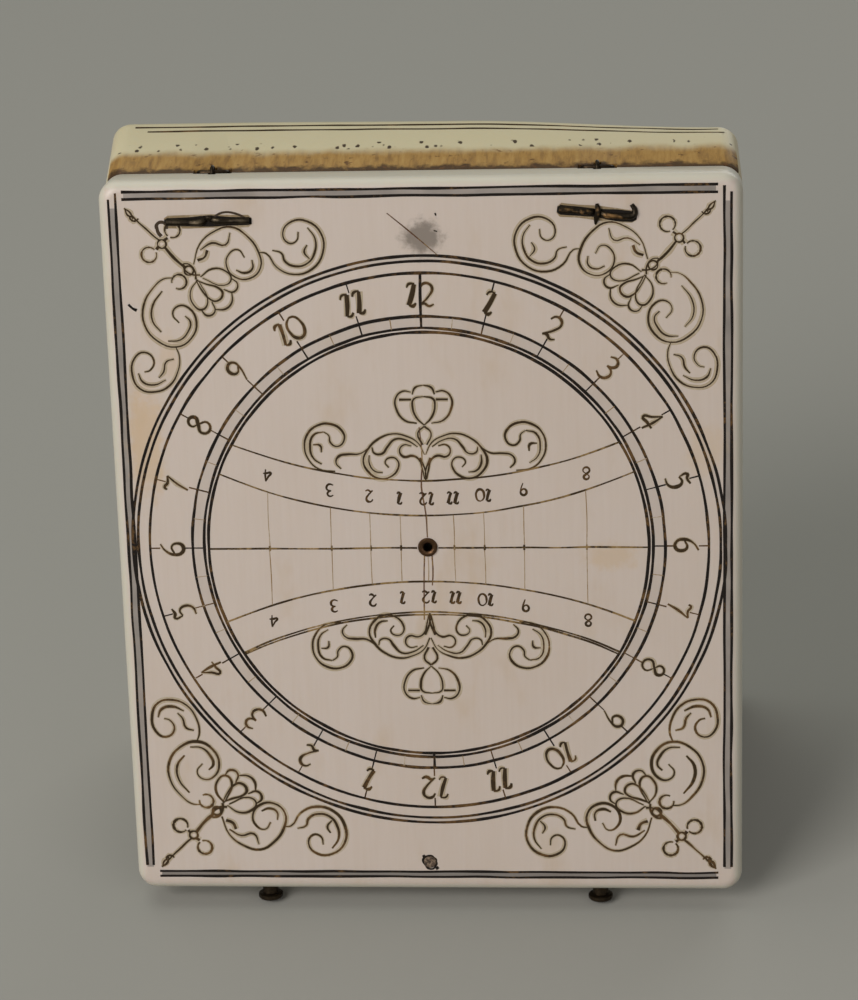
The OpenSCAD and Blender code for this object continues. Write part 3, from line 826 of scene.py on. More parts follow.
def on_dial(strokes):
    """Strokes measured from the dial's centre, in the upper leaf's frame."""
    return [([(x, y + DIAL_Y) for x, y in points], kind) for points, kind in strokes]


def cut_upper(name, strokes, width, material, level=UPPER_T, lift=0.02):
    """Strokes measured from the dial's centre are cut in the upper leaf."""
    return engrave(name, on_dial(strokes), width, material, UPPER, level, "upper_leaf", "ivory_upper", lift)


# Brown wash was rubbed round the scrolls, and fills the leaves between their lines
for name, strokes in (("corner_wash", corner_strokes), ("middle_wash", middle_strokes),
                      ("hour_wash", hour_strokes)):
    wash = pigment(f"{name}_colour", UPPER, (0.38, 0.305, 0.21), (0.435, 0.36, 0.265), (0.48, 0.41, 0.34),
                   0.28)
    cut_upper(name, strokes, 0.46, wash, lift=0.006)

hinge_corners = [stroke for stroke in corner_strokes if stroke[0][0][1] > 0]
foot_corners = [stroke for stroke in corner_strokes if stroke[0][0][1] < 0]
for name, strokes, width, dark, brown, bare, wear in (
    ("border_pigment", frame_strokes, 0.27, BLACK, UMBER, BARE, 0.14),
    ("ring_pigment", ring_strokes, 0.30, BLACK, UMBER, OCHRE, 0.26),
    ("hour_pigment", hour_strokes, 0.30, SEPIA, UMBER, OCHRE, 0.26),
    ("tick_pigment", fine_strokes, 0.15, BLACK, UMBER, BARE, 0.40),
    ("half_hour_pigment", half_strokes, 0.09, OCHRE, FAINT, BARE, 0.50),
    ("polar_pigment", polar_strokes, 0.19, SEPIA, OCHRE, BARE, 0.34),
    ("stamped_pigment", stamp_strokes, 0.21, SEPIA, UMBER, OCHRE, 0.30),
    ("faint_pigment", faint_strokes, 0.09, OCHRE, FAINT, BARE, 0.45),
    ("hinge_scroll_pigment", hinge_corners, 0.21, SEPIA, UMBER, OCHRE, 0.20),
    ("foot_scroll_pigment", foot_corners, 0.27, SEPIA, UMBER, OCHRE, 0.36),
    ("middle_scroll_pigment", middle_strokes, 0.23, SEPIA, UMBER, OCHRE, 0.20),
    ("mark_pigment", mark_strokes, 0.2, BLACK, SEPIA, UMBER, 0.0),
    ("crack_pigment", crack_strokes, 0.15, (0.10, 0.05, 0.03), OCHRE, BARE, 0.30),
):
    cut_upper(name, strokes, width, pigment(name, UPPER, dark, brown, bare, wear))


# --- Two lines run along the lower leaf's hinge edge, on the turn of its outer arris
def round_arris(lines):
    """Lines drawn flat, with y as the height on the leaf's edge, are laid on the edge and arris."""
    for vertex in lines.data.vertices:
        x, height, lift = vertex.co
        turn = max(0.0, min(1.0, (height - (LOWER_T - ARRIS)) / ARRIS))
        vertex.co = (x, ARRIS * (1 - math.sqrt(1 - turn * turn)) - lift, height)


def reshape(lines, *changes):
    """Lines already in their place are changed in the lower leaf's own millimetres."""
    lines.data.transform(LOWER.inverted())
    for change in changes:
        change(lines)
    lines.data.transform(LOWER)


arris_strokes = []
for height, left, right in ((7.6, -28.6, 29.0), (6.9, -27.4, 29.6)):
    arris_strokes.append((straight((left, height), (right, height), 2.5, 0.02), "line"))
arris_pigment = pigment("arris_pigment", LOWER, SEPIA, UMBER, OCHRE, 0.22)
arris_lines = engrave("arris_lines", arris_strokes, 0.24, arris_pigment, LOWER, 0, "lower_leaf",
                      "ivory_lower")
reshape(arris_lines, round_arris, scrape)

# Grime and hair lines round the clinched hinge wires
grime_strokes = [
    (arc(LEFT_HINGE_X - 4.65, 32.5, 0.5, -20, 200, 6), "bold"),
    ([(-25.3, 32.6), (-25.2, 32.0), (-24.9, 31.6)], "bold"),
    ([(-19.9, 33.3), (-18.9, 33.85), (-17.6, 33.75), (-16.5, 33.2)], "line"),
    ([(17.0, 34.1), (17.05, 33.2), (16.95, 32.2)], "swell"),
]
grime = pigment("grime", UPPER, (0.05, 0.034, 0.022), (0.12, 0.08, 0.05), BARE, 0.12)
cut_upper("hinge_grime", grime_strokes, 0.24, grime)
bed_strokes = [
    ([(-24.55, 33.0), (-24.2, 33.0), (-22.2, 33.0), (-20.2, 33.05), (-18.2, 33.0), (-16.4, 33.0),
      (-16.05, 33.0)], "worn"),
    ([(13.3, 33.75), (13.65, 33.7), (15.3, 33.55), (17.1, 33.35), (18.9, 33.1), (20.5, 32.95),
      (20.9, 32.9)], "worn"),
]
halo = pigment("bed_halo", UPPER, (0.24, 0.175, 0.10), (0.35, 0.275, 0.185), (0.46, 0.39, 0.31), 0.35)
cut_upper("hinge_halo", bed_strokes, 1.3, halo, lift=0.006)
bed_dirt = pigment("bed_dirt", UPPER, BLACK, SEPIA, UMBER, 0.05)
cut_upper("hinge_bed", bed_strokes, 1.02, bed_dirt, lift=0.03)


# ------------------------------------------------------------------------------------------
# The hinges. Each is two staples of soft brass wire, turned by hand: the upper one's eye goes
# round the lower one's bow, and their legs are driven slantwise through the leaves and bent
# flat on the outer faces. The wire has gone black-brown. Its crests are painted lighter, partly
# as rubbed brass and partly as a painted highlight: dull on the left wire, golden on the right.

metal_group, given, result = group(
    "old_metal", {"Place": "Vector", "Bright": "Color", "Dull": "Color", "Tarnish": "Float"},
    {"Color": "Color", "Roughness": "Float", "Height": "Float"},
)
tree = metal_group
place = given["Place"]
bloom = maths(tree, "ADD", times(tree, noise(tree, place, (1, 1, 1), 0.6, 4, 0.6), 0.6),
              times(tree, noise(tree, place, (1, 1, 1), 3.5, 3, 0.6), 0.4))
dull = step(tree, maths(tree, "ADD", bloom, given["Tarnish"]), 0.35, 1.05)
tree.links.new(mixed(tree, dull, given["Bright"], given["Dull"]), result["Color"])
tree.links.new(maths(tree, "MULTIPLY_ADD", dull, 0.35, 0.27), result["Roughness"])
tree.links.new(noise(tree, place, (1, 1, 1), 5, 4, 0.6), result["Height"])


def metal(name, leaf, bright, dull, tarnish, pitting=0.2):
    """An old metal whose bright ground is broken by dull patches."""
    made, tree, shader = new_material(name)
    look = patterned(tree, metal_group, leaf_place(tree, leaf), Bright=bright, Dull=dull, Tarnish=tarnish)
    shader.inputs["Metallic"].default_value = 1
    tree.links.new(look["Color"], shader.inputs["Base Color"])
    tree.links.new(look["Roughness"], shader.inputs["Roughness"])
    relief(tree, shader, pitting, 0.00005, look["Height"])
    return made


def tint(material, amount, colour):
    """A material's colour is changed towards another where amount is 1."""
    tree = material.node_tree
    base = tree.nodes["Principled BSDF"].inputs["Base Color"]
    tree.links.new(mixed(tree, amount, base.links[0].from_socket, colour), base)


def wire(name, middle, runs, eye, leaf, body, material, replaced):
    """Bent wire. A run is a list of (x, y, z, radius), with x from the hinge's middle. eye is the
    radius of the loop, or 0."""
    clear()
    curve = bpy.data.curves.new(name, "CURVE")
    curve.dimensions = "3D"
    curve.bevel_depth = 1
    curve.bevel_resolution = 3
    curve.resolution_u = 6
    curve.use_fill_caps = True
    for run in runs:
        spline = curve.splines.new("BEZIER")
        spline.bezier_points.add(len(run) - 1)
        for bead, (x, y, z, radius) in zip(spline.bezier_points, run):
            bead.co = (middle + x, y, z)
            bead.radius = radius
            bead.handle_left_type = bead.handle_right_type = "AUTO"
    made = bpy.data.objects.new(name, curve)
    bpy.context.scene.collection.objects.link(made)
    only(made)
    bpy.ops.object.convert(target="MESH")
    made = bpy.context.object
    if eye:
        clear()
        bpy.ops.mesh.primitive_torus_add(
            major_radius=eye, minor_radius=0.2, major_segments=40, minor_segments=12,
            location=(middle, 0, 0), rotation=(0, math.pi / 2, 0)
        )
        loop = added()
        only(made)
        loop.select_set(True)
        bpy.ops.object.join()
    if leaf is LOWER:
        scrape(made)
    settle(made, leaf, body, "hinge_wire", material, replaced)


black_brass = metal("black_brass", UPPER, (0.045, 0.034, 0.022), (0.008, 0.007, 0.006), 0.2, 0.6)
tree = black_brass.node_tree
place = leaf_place(tree, UPPER)
x_axis, y_axis, z_axis = node(tree, "ShaderNodeSeparateXYZ", Vector=place).outputs
# Painted highlight mixed with rubbed brass on the wires' crests, dull on the left wire and golden on the
# right
highlight_and_wear_mask = times(tree, step(tree, z_axis, 4.34, 4.54),
              step(tree, noise(tree, place, (1, 1, 1), 0.9, 3), 0.46, 0.62))
highlight_and_wear_colour = mixed(tree, step(tree, x_axis, -5.0, 5.0), (0.11, 0.085, 0.055), (0.36, 0.20, 0.08))
tint(black_brass, highlight_and_wear_mask, highlight_and_wear_colour)

# Radius of the upper wires' eyes
EYE = 0.54
wire("hinge_left_upper", LEFT_HINGE_X, [
    [(-0.25, -0.55, 0.55, 0.27), (-0.3, -2, 2, 0.3), (-0.35, -3.7, 3.75, 0.33), (-0.8, -4.0, 4.1, 0.38),
     (-2.0, -4.02, 4.13, 0.30), (-3.4, -4.0, 4.1, 0.36), (-4.1, -3.98, 4.02, 0.39)],
    [(0.25, -0.55, 0.55, 0.27), (0.3, -2, 2, 0.3), (0.2, -3.7, 3.75, 0.33), (0.6, -3.9, 4.18, 0.36),
     (1.9, -3.98, 4.12, 0.29), (3.2, -3.95, 4.1, 0.36), (3.9, -3.95, 4.02, 0.37)],
    [(-0.3, -3.72, 4.0, 0.2), (0, -3.6, 4.25, 0.26), (0.35, -3.75, 4.05, 0.2)],
], EYE, UPPER, "upper_leaf", black_brass, "hinge_wire_upper_left")
wire("hinge_right_upper", RIGHT_HINGE_X, [
    [(-0.25, -0.55, 0.55, 0.27), (-0.3, -2, 2, 0.3), (-0.3, -3.4, 3.6, 0.33), (-0.7, -3.5, 4.1, 0.35),
     (-2.0, -3.35, 4.14, 0.31), (-3.0, -3.25, 4.1, 0.38), (-3.55, -3.2, 4.03, 0.42)],
    [(0.25, -0.55, 0.55, 0.27), (0.3, -2, 2, 0.3), (0.3, -3.6, 3.7, 0.33), (0.7, -3.8, 4.12, 0.33),
     (2.0, -3.95, 4.13, 0.32), (3.0, -4.0, 4.12, 0.35), (3.5, -3.85, 4.1, 0.34), (3.6, -3.4, 4.08, 0.27),
     (3.3, -2.85, 4.02, 0.2)],
    [(0, -2.75, 4.02, 0.16), (0.1, -3.3, 4.2, 0.3), (-0.05, -4.1, 4.15, 0.26), (-0.15, -4.7, 4.0, 0.12)],
], EYE, UPPER, "upper_leaf", black_brass, "hinge_wire_upper_right")

brown_brass = metal("brown_brass", LOWER, (0.05, 0.032, 0.018), (0.010, 0.008, 0.006), 0.2, 0.5)
for name, x in (("left", LEFT_HINGE_X), ("right", RIGHT_HINGE_X)):
    wire(f"hinge_{name}_lower", x, [
        [(-4.6, 6.5, 9.02, 0.34), (-3.6, 6.52, 9.1, 0.31), (-2.2, 6.5, 9.14, 0.3), (-1.6, 6.4, 8.95, 0.31),
         (-1.42, 6.0, 8.3, 0.3), (-1.42, 0.7, 0.95, 0.3), (-1.25, 0.12, 0.16, 0.27), (-0.8, 0, 0, 0.25),
         (0.8, 0, 0, 0.25), (1.25, 0.12, 0.16, 0.27), (1.42, 0.7, 0.95, 0.3), (1.42, 6.0, 8.3, 0.3),
         (1.6, 6.45, 8.95, 0.31), (2.2, 6.5, 9.14, 0.3), (3.6, 6.45, 9.1, 0.31), (4.5, 6.5, 9.02, 0.35)]
    ], 0, LOWER, "lower_leaf", brown_brass, f"hinge_wire_lower_{name}")


# ------------------------------------------------------------------------------------------
# Small turned pieces of the upper leaf: the bushed hole for the gnomon pin, the plug in the
# string hole, and the two headed pins that the hooks catch. Each was turned on a lathe and
# driven into a drilled hole, and dirt has gathered round it.


def face_outward():
    """In edit mode, the whole mesh's faces are turned outward, and edit mode ends."""
    bpy.ops.mesh.select_all(action="SELECT")
    bpy.ops.mesh.normals_make_consistent(inside=False)
    bpy.ops.object.mode_set(mode="OBJECT")


def turned(name, profile, closed=False, sides=48):
    """A piece turned about z. The profile is a list of (radius, z); a closed one has a bore."""
    clear()
    bpy.ops.mesh.primitive_circle_add(
        vertices=sides, radius=profile[0][0], location=(0, 0, profile[0][1]),
        fill_type="NOTHING" if closed else "NGON"
    )
    made = added()
    made.name = name
    bpy.ops.object.mode_set(mode="EDIT")
    bpy.ops.mesh.select_all(action="SELECT")
    steps = profile[1:] + profile[:1] if closed else profile[1:]
    extrude = bpy.ops.mesh.extrude_edges_move if closed else bpy.ops.mesh.extrude_region_move
    for (was_r, was_z), (r, z) in zip(profile, steps):
        extrude(TRANSFORM_OT_translate={"value": (0, 0, z - was_z)})
        bpy.ops.transform.resize(value=(r / was_r, r / was_r, 1))
    bpy.ops.mesh.select_all(action="SELECT")
    bpy.ops.mesh.remove_doubles(threshold=0.0005)
    face_outward()
    return made


ferrule = turned("gnomon_bush", [
    (0.45, 0.12), (0.8, 0.12), (0.8, 3.95), (0.95, 4.0), (0.97, 4.08), (0.92, 4.17), (0.72, 4.2),
    (0.55, 4.16), (0.45, 4.06),
], closed=True)
move(ferrule, 0, DIAL_Y)
bush_brass = metal("bush_brass", UPPER, (0.13, 0.07, 0.035), (0.02, 0.014, 0.01), 0.1, 0.6)
settle(ferrule, UPPER, "upper_leaf", "dark_brass", bush_brass, "gnomon_ferrule")

peg = turned("string_plug", [
    (0.65, 0.8), (0.65, 3.95), (0.62, 4.08), (0.5, 4.17), (0.3, 4.14), (0.12, 4.1), (0.02, 4.09)
], sides=24)
move(peg, PEG_X, PEG_Y)
plug_wood, tree, shader = new_material("plug_wood")
grain = noise(tree, leaf_place(tree, UPPER), (1.6, 1.6, 0.3), 2.2, 4, 0.65)
tree.links.new(ramp(tree, grain, (0.35, (0.016, 0.011, 0.008)), (0.52, (0.09, 0.055, 0.032)),
                    (0.68, (0.30, 0.22, 0.15))), shader.inputs["Base Color"])
shader.inputs["Roughness"].default_value = 0.75
relief(tree, shader, 0.6, 0.0001, grain)
settle(peg, UPPER, "upper_leaf", "peg", plug_wood, "string_peg")
peg_dirt = [(arc(PEG_X, PEG_Y - DIAL_Y, 0.68, 0, 345, 14, 0.05), "ring"),
            ([(-1.4, -33.0), (-1.2, -33.3)], "bold"), ([(-0.1, -34.3), (0.1, -34.55)], "bold")]
cut_upper("plug_dirt", peg_dirt, 0.24, pigment("plug_dirt_colour", UPPER, BLACK, UMBER, BARE, 0.2))

stud_brass = metal("stud_brass", UPPER, (0.07, 0.05, 0.03), (0.013, 0.010, 0.008), 0.2, 0.6)
STUD_Z = 2.0
for name in ("left", "right"):
    stud = turned(f"stud_{name}", [
        (0.6, -4.95), (0.6, -0.02), (0.8, 0.0), (0.8, 0.96), (1.12, 1.0), (1.25, 1.1), (1.25, 1.42),
        (1.14, 1.55), (0.7, 1.6)
    ])
    place = Matrix.Translation((middle_x(f"catch_stud_{name}"), -LENGTH, STUD_Z))
    stud.data.transform(place @ Matrix.Rotation(math.pi / 2, 4, "X"))
    settle(stud, UPPER, "upper_leaf", "brass", stud_brass, f"catch_stud_{name}")


# ------------------------------------------------------------------------------------------
# The two hooks on the lower leaf's free edge, sawn and filed from sheet brass, and the headed
# rivets that they turn on. When the dial is shut, each hook swings over a pin of the upper leaf.

hook_brass = metal("hook_brass", LOWER, (0.52, 0.36, 0.15), (0.12, 0.075, 0.035), 0.0, 0.35)
# Height of the hooks on the edge, from the rivet to the mouth, and the thickness of their sheet
HOOK_Z = 4.5
HOOK_REACH = 6.5
HOOK_T = 0.8
for name, side in (("left", 1), ("right", -1)):
    x = middle_x(f"hook_rivet_{name}")
    rivet = turned(f"hook_pin_{name}", [
        (0.68, -4.95), (0.68, 0.99), (1.1, 1.0), (1.25, 1.1), (1.25, 1.35), (1.1, 1.53), (0.6, 1.6)
    ])
    rivet.data.transform(Matrix.Translation((x, LENGTH, HOOK_Z)) @ Matrix.Rotation(-math.pi / 2, 4, "X"))
    settle(rivet, LOWER, "lower_leaf", "brass", stud_brass, f"hook_rivet_{name}")

    hook = cylinder(1.45, 0, HOOK_T, sides=40)
    hook.name = f"hook_{name}"
    arm = box((HOOK_REACH / 2, 0, HOOK_T / 2), (HOOK_REACH, 2.3, HOOK_T))
    claw = cylinder(1.8, 0, HOOK_T, x=HOOK_REACH, sides=48)
    cut(hook, arm, claw, operation="UNION")
    mouth = box((HOOK_REACH, 1.5, HOOK_T / 2), (1.8, 3.0, 2))
    cut(hook, cylinder(0.75, -1, 2, sides=32), cylinder(0.9, -1, 2, x=HOOK_REACH, sides=32), mouth)
    only(hook)
    filed = hook.modifiers.new("filed", "BEVEL")
    filed.width = 0.12
    filed.segments = 2
    filed.limit_method = "ANGLE"
    filed.angle_limit = math.radians(40)
    bpy.ops.object.modifier_apply(modifier=filed.name)
    hook.data.transform(Matrix(((side, 0, 0, x), (0, 0, 1, LENGTH + 0.1), (0, -1, 0, HOOK_Z), (0, 0, 0, 1))))
    if side < 0:
        hook.data.flip_normals()
    settle(hook, LOWER, f"{name}_hook", "brass", hook_brass, f"catch_hook_{name}")


# ------------------------------------------------------------------------------------------
# The moon volvelle in the inner face of the upper leaf: a pewter disc that turns by a nail
# hole, held by a rove on the gnomon bush. Its rim counts the 30 days of the moon, and the
# ivory round it the 24 hours. Lines on inner faces are drawn to be read from inside.

DARK_CUT = (0.03, 0.028, 0.026)
pewter_look = metal("pewter", UPPER, (0.50, 0.49, 0.46), (0.20, 0.195, 0.18), -0.05, 0.25)
moon = turned("moon_volvelle", [
    (2.1, 0.12), (16.85, 0.12), (17.0, 0.22), (17.0, 0.86), (16.9, 0.94), (0.86, 0.94), (0.86, 0.5),
    (2.1, 0.5),
], closed=True, sides=128)
cut(moon, cylinder(0.55, -1, 2, y=15.4, sides=24))
move(moon, 0, DIAL_Y)
settle(moon, UPPER, "moon_disc", "pewter", pewter_look, "lunar_disc")


def inside(strokes):
    """Strokes turned over, to be read from a leaf's inner side."""
    return [([(-x, y) for x, y in points], kind) for points, kind in strokes]


def dial_ring(radius, height, labels, tick=0.0, start=90):
    """Numbers round a circle, tops outward, with a tick between each two."""
    strokes = []
    for place_index, label in enumerate(labels):
        turn = start - 360 * place_index / len(labels)
        strokes += number(str(label), *polar(radius, turn), height, turn - 90)
        if tick:
            reach = radius + height * 0.62
            strokes.append(spoke(reach, reach + tick, turn - 180 / len(labels)))
    return strokes


def petals(inner, outer, wide, count, start=90):
    """A rosette of pointed petals."""
    strokes = []
    for place_index in range(count):
        turn = Matrix.Rotation(math.radians(start - 360 * place_index / count), 2)
        for side in (-1, 1):
            petal = ((inner, 0), (inner + (outer - inner) * 0.4, side * wide), (outer, 0))
            strokes.append(([tuple(turn @ Vector(point)) for point in petal], "swell"))
    return strokes


moon_strokes = [ring(0, 0, radius) for radius in (16.3, 12.9, 12.4, 7.6)]
moon_strokes += dial_ring(14.35, 1.45, range(1, 31), 0.6)
moon_strokes += petals(2.6, 7.3, 0.9, 12) + petals(7.9, 12.0, 0.55, 24)
pewter_cuts = pigment("pewter_cuts", UPPER, DARK_CUT, (0.06, 0.055, 0.05), (0.25, 0.245, 0.23), 0.1)
engrave("moon_scale", on_dial(inside(moon_strokes)), 0.17, pewter_cuts, UPPER, 0.12, "moon_disc", "pewter")

rove = turned("moon_rove", [
    (0.81, 0.46), (0.81, 0.12), (1.7, 0.12), (1.95, 0.2), (2.0, 0.3), (2.0, 0.46)
], closed=True)
move(rove, 0, DIAL_Y)
settle(rove, UPPER, "upper_leaf", "brass", hook_brass, "lunar_rove")

HOURS = [12, *range(1, 12)] * 2
inner_strokes = [ring(0, 0, radius) for radius in (17.7, 21.4, 21.9)]
inner_strokes += dial_ring(19.3, 1.9, HOURS, 0.75)
# How far the pigment on the inner faces stands up
INNER_LIFT = 0.015
inner_hour_ink = pigment("inner_hour_ink", UPPER, BLACK, UMBER, OCHRE, 0.2)
cut_upper("inner_hours", inside(inner_strokes), 0.22, inner_hour_ink, INNER, INNER_LIFT)
inner_border_ink = pigment("inner_border_ink", UPPER, BLACK, UMBER, OCHRE, 0.15)
cut_upper("inner_border", border(), 0.24, inner_border_ink, INNER, INNER_LIFT)
inner_scroll_ink = pigment("inner_scroll_ink", UPPER, UMBER, OCHRE, BARE, 0.25)
cut_upper("inner_scrolls", corner_strokes, 0.2, inner_scroll_ink, INNER, INNER_LIFT)


# ------------------------------------------------------------------------------------------
# The inner face of the lower leaf is cut with the same borders and scrolls round the compass
# well. The outer face has them round the calendar plate. Both are laid out from the leaf's
# middle.

LOWER_MIDDLE = LENGTH / 2
COMPASS_UP = COMPASS_Y - LOWER_MIDDLE


def on_lower(strokes, y=0.0):
    """Strokes drawn upright, with the hinge edge on top, in the lower leaf's frame."""
    return [([(x, LOWER_MIDDLE + y - v) for x, v in points], kind) for points, kind in strokes]


lower_ink = pigment("lower_ink", LOWER, BLACK, UMBER, OCHRE, 0.18)
lower_scroll_ink = pigment("lower_scroll_ink", LOWER, UMBER, OCHRE, BARE, 0.25)
lower_border = border()
well_strokes = [ring(0, 0, radius) for radius in (18.2, 20.7, 21.1)]
well_strokes += [spoke(19.6 if turn % 15 else 18.9, 20.7, turn) for turn in range(0, 360, 5)]
# The plate leaves room for the whole hinge corners, but only for the stems of the others
PLATE_ROOM = 24.3
plate_corners = [stroke for stroke in corner_strokes if max(v for x, v in stroke[0]) > 0]
plate_corners += [
    stroke for stroke in corner_strokes
    if max(v for x, v in stroke[0]) < 0
    and all(math.hypot(x, v + COMPASS_UP) > PLATE_ROOM for x, v in stroke[0])
]
for face, level, lift, corners in (("inner", INNER, INNER_LIFT, corner_strokes),
                                   ("outer", LOWER_T, 0.05, plate_corners)):
    for part, strokes, width, ink in (("border", lower_border, 0.24, lower_ink),
                                      ("scrolls", corners, 0.2, lower_scroll_ink)):
        lines = engrave(f"lower_{face}_{part}", on_lower(strokes), width, ink, LOWER, level, "lower_leaf",
                        "ivory_lower", lift)
        reshape(lines, scrape)
engrave("well_scale", on_lower(well_strokes, COMPASS_UP), 0.2, lower_ink, LOWER, INNER, "lower_leaf",
        "ivory_lower", INNER_LIFT)


# ------------------------------------------------------------------------------------------
# The compass: a printed and coloured paper rose on the well's floor, a sliding oval hour ring
# of pewter on two pins, a blued needle on a steel point, and a glass under a sprung brass ring.


def on_compass(strokes):
    """Strokes measured from the compass point, in the lower leaf's frame."""
    return [([(x, COMPASS_Y + v) for x, v in points], kind) for points, kind in strokes]


def node_look(name, material):
    """A carried-over CAD piece gets its finish."""
    piece = frame["nodes"][name]
    piece.data.materials.clear()
    piece.data.materials.append(material)


paper, tree, shader = new_material("rose_paper")
place = leaf_place(tree, LOWER)
foxing = step(tree, noise(tree, place, (1, 1, 1), 0.35, 5, 0.65), 0.5, 0.75)
fibre = noise(tree, place, (1, 1, 1), 5, 4, 0.7)
tone = mixed(tree, fibre, (0.66, 0.58, 0.42), (0.58, 0.50, 0.34))
tree.links.new(mixed(tree, foxing, tone, (0.42, 0.30, 0.15)), shader.inputs["Base Color"])
shader.inputs["Roughness"].default_value = 0.85
relief(tree, shader, 0.3, 0.00003, fibre)
node_look("compass_card", paper)

CARD_Z = 5.2
rose_strokes = [ring(0, 0, radius) for radius in (15.5, 14.7, 12.7)]
rose_strokes += [spoke(14.7, 15.5 if turn % 10 else 15.1, turn) for turn in range(0, 360, 5)]
rose_strokes += petals(5.2, 12.5, 0.85, 16)
engrave("rose_lines", on_compass(inside(rose_strokes)), 0.13, lower_ink, LOWER, CARD_Z, "lower_leaf", "card")


def rays(name, reach, wide, turns, colour):
    """Flat coloured points of the rose, each half of a kite, inked on the card."""
    clear()
    bpy.ops.mesh.primitive_circle_add(vertices=3, radius=1, fill_type="NGON")
    first = bpy.context.object
    first.name = name
    for vertex, (x, y) in zip(first.data.vertices, ((5.3, 0), (7.6, wide), (reach, 0))):
        vertex.co = (x, y, 0)
    bpy.ops.object.mode_set(mode="EDIT")
    bpy.ops.mesh.select_all(action="SELECT")
    bpy.ops.mesh.extrude_region_move(TRANSFORM_OT_translate={"value": (0, 0, -0.02)})
    bpy.ops.object.mode_set(mode="OBJECT")
    shape = first.data.copy()
    first.data.transform(Matrix.Rotation(math.radians(turns[0]), 4, "Z"))
    for turn in turns[1:]:
        copied = bpy.data.objects.new(name, shape.copy())
        bpy.context.scene.collection.objects.link(copied)
        copied.data.transform(Matrix.Rotation(math.radians(turn), 4, "Z"))
        only(first)
        copied.select_set(True)
        bpy.ops.object.join()
    first.data.transform(Matrix.Translation((0, COMPASS_Y, CARD_Z)))
    only(first)
    bpy.ops.object.mode_set(mode="EDIT")
    face_outward()
    ink = pigment(f"{name}_ink", LOWER, colour, colour, (0.5, 0.42, 0.28), 0.3)
    settle(first, LOWER, "lower_leaf", "card", ink)


rays("rose_red", 12.4, 1.0, (0, 90, 180, 270), (0.30, 0.05, 0.03))
rays("rose_green", 12.0, 0.9, (45, 135, 225, 315), (0.05, 0.14, 0.07))
rays("rose_blue", 10.6, 0.7, [22.5 + 45 * turn for turn in range(8)], (0.04, 0.07, 0.16))

# --- The hour ring, with its hours cut round the oval, and the pins that it slides on. Nothing is
# cut at twelve, where the pins' heads rub.
ring_pewter = metal("ring_pewter", LOWER, (0.52, 0.51, 0.48), (0.22, 0.215, 0.2), 0.0, 0.25)
node_look("hour_ring", ring_pewter)
OVAL_X, OVAL_Y = 14.2, 12.9
RING_Z = 4.15


def on_oval(inset, degrees):
    """A point this far inside the ring's outer edge."""
    turn = math.radians(degrees)
    return (OVAL_X - inset) * math.cos(turn), (OVAL_Y - inset) * math.sin(turn)


oval_strokes = []
for inset in (0.35, 2.5, 3.25):
    for start in (0, 180):
        turns = range(start - 82, start + 83, 4)
        oval_strokes.append(([on_oval(inset, turn) for turn in turns], "line"))
for hour_index, hour in enumerate(HOURS):
    if hour != 12:
        x, y = on_oval(1.45, 90 - 15 * hour_index)
        lean = math.degrees(math.atan2(y / OVAL_Y ** 2, x / OVAL_X ** 2)) - 90
        oval_strokes += number(str(hour), x, y, 1.35, lean)
        oval_strokes.append(([on_oval(inset, 97.5 - 15 * hour_index) for inset in (2.5, 3.25)], "line"))
oval_cuts = pigment("oval_cuts", LOWER, DARK_CUT, (0.06, 0.055, 0.05), (0.25, 0.245, 0.23), 0.1)
engrave("hour_ring_cuts", on_compass(inside(oval_strokes)), 0.16, oval_cuts, LOWER, RING_Z, "hour_ring",
        "pewter")

compass_brass = metal("compass_brass", LOWER, (0.60, 0.43, 0.18), (0.18, 0.11, 0.05), -0.1, 0.25)
for name in ("guide_pins", "drive_hub", "hub_plate", "needle_cap"):
    node_look(name, compass_brass)

# --- The needle: steel filed to a ridge and blued, its north half left bright
blued = metal("blued_steel", LOWER, (0.035, 0.05, 0.13), (0.02, 0.02, 0.035), -0.1, 0.15)
tree = blued.node_tree
axes = node(tree, "ShaderNodeSeparateXYZ", Vector=leaf_place(tree, LOWER)).outputs
tint(blued, step(tree, axes["Y"], COMPASS_Y + 2.0, COMPASS_Y + 2.6), (0.45, 0.44, 0.43))
clear()
bpy.ops.mesh.primitive_circle_add(vertices=4, radius=1, location=(0, 0, 3.2), fill_type="NGON")
needle = added()
needle.name = "needle_blade"
bpy.ops.object.mode_set(mode="EDIT")
bpy.ops.mesh.select_all(action="SELECT")
bpy.ops.transform.resize(value=(1.0, 11.5, 1))
bpy.ops.mesh.extrude_region_move(TRANSFORM_OT_translate={"value": (0, 0, -0.17)})
bpy.ops.mesh.extrude_region_move(TRANSFORM_OT_translate={"value": (0, 0, -0.18)})
bpy.ops.transform.resize(value=(0.12, 0.93, 1))
face_outward()
boss = turned("needle_boss", [(1.35, 3.2), (1.5, 3.14), (1.5, 2.9), (1.38, 2.85), (1.0, 2.85)], sides=40)
cut(needle, boss, operation="UNION")
cut(needle, cylinder(1.0, 2, 4, sides=40))
move(needle, 0, COMPASS_Y)
settle(needle, LOWER, "needle", "steel", blued, "compass_needle")
node_look("compass_pivot", metal("pivot_steel", LOWER, (0.42, 0.41, 0.40), (0.2, 0.19, 0.18), -0.1, 0.1))

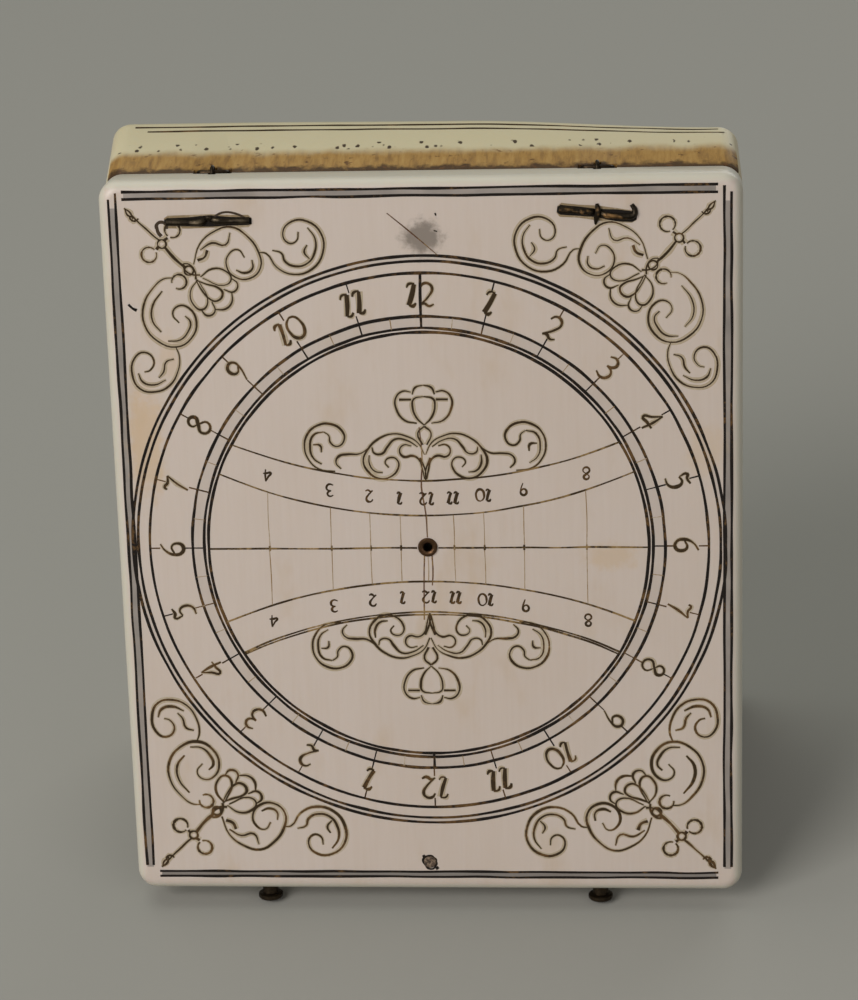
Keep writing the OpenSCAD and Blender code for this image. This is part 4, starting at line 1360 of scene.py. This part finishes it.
# --- The glass has a faint green cast and lies under its split ring
pane, tree, shader = new_material("crown_glass")
shader.inputs["Transmission Weight"].default_value = 1
shader.inputs["IOR"].default_value = 1.5
shader.inputs["Base Color"].default_value = (0.93, 0.98, 0.95, 1)
waves = noise(tree, leaf_place(tree, LOWER), (1, 1, 1), 0.15, 2)
tree.links.new(times(tree, waves, 0.03), shader.inputs["Roughness"])
relief(tree, shader, 0.05, 0.0002, waves)
node_look("compass_glass", pane)
split_ring = turned("split_ring", [
    (16.4, 0.06), (17.3, 0.06), (17.38, 0.12), (17.38, 0.6), (16.4, 0.6)
], closed=True, sides=128)
cut(split_ring, box((0, 16.5, 0.3), (0.5, 3, 3)))
move(split_ring, 0, COMPASS_Y)
settle(split_ring, LOWER, "lower_leaf", "brass", compass_brass, "glass_ring")


# ------------------------------------------------------------------------------------------
# The calendar plate in the outer face of the lower leaf: a silver disc cast and turned flat,
# cut with months, days and a rosette. It turns by two nail holes on a rivet through the leaf,
# and its drum and eccentric pin move the hour ring inside.

silver = metal("silver", LOWER, (0.62, 0.60, 0.56), (0.24, 0.21, 0.17), 0.0, 0.2)
PLATE_Z = 8.76
plate = turned("calendar_plate", [
    (1.2, 7.76), (23.4, 7.76), (23.5, 7.86), (23.5, 8.66), (23.4, PLATE_Z), (1.2, PLATE_Z)
], closed=True, sides=160)
cut(plate, *[cylinder(0.6, 7, 10, y=side * 21.3, sides=24) for side in (-1, 1)])
move(plate, 0, COMPASS_Y)
settle(plate, LOWER, "calendar", "silver", silver, "calendar_disc")
calendar_strokes = [ring(0, 0, radius) for radius in (23.0, 20.1, 19.7, 15.6, 15.2, 11.6, 5.2)]
for turn in range(0, 360, 3):
    between_months = turn % 30 == 0
    beside_nail_hole = abs(math.sin(math.radians(turn))) > 0.985
    if between_months or not beside_nail_hole:
        calendar_strokes.append(spoke(15.6 if between_months else 21.1, 20.1, turn))
calendar_strokes += dial_ring(17.6, 2.1, range(1, 13), 0, 75)
calendar_strokes += [stroke for stroke in dial_ring(22.1, 1.0, [10, 20, 30] * 12, 0, 80)
                     if all(abs(x) > 1.2 for x, v in stroke[0])]
calendar_strokes += dial_ring(13.4, 1.2, [10, 20, 30] * 8, 0.3, 80)
calendar_strokes += petals(2.5, 5.0, 0.5, 12) + petals(5.4, 11.3, 1.2, 12) + petals(5.4, 10.6, 0.6, 12, 75)
silver_cuts = pigment("silver_cuts", LOWER, DARK_CUT, (0.07, 0.06, 0.05), (0.3, 0.28, 0.25), 0.1)
engrave("calendar_scale", on_compass(calendar_strokes), 0.18, silver_cuts, LOWER, PLATE_Z, "calendar",
        "silver")
rivet = turned("calendar_pin", [
    (0.4, 4.8), (1.19, 4.8), (1.19, 8.75), (2.1, 8.77), (2.2, 8.8), (2.1, 8.85), (1.2, 8.88), (0.4, 8.88)
], closed=True)
plug = turned("calendar_pin_middle", [(0.41, 6.3), (0.41, 8.87), (0.2, 8.88)])
only(rivet)
plug.select_set(True)
bpy.ops.object.join()
move(rivet, 0, COMPASS_Y)
settle(rivet, LOWER, "calendar", "brass", compass_brass, "calendar_rivet")
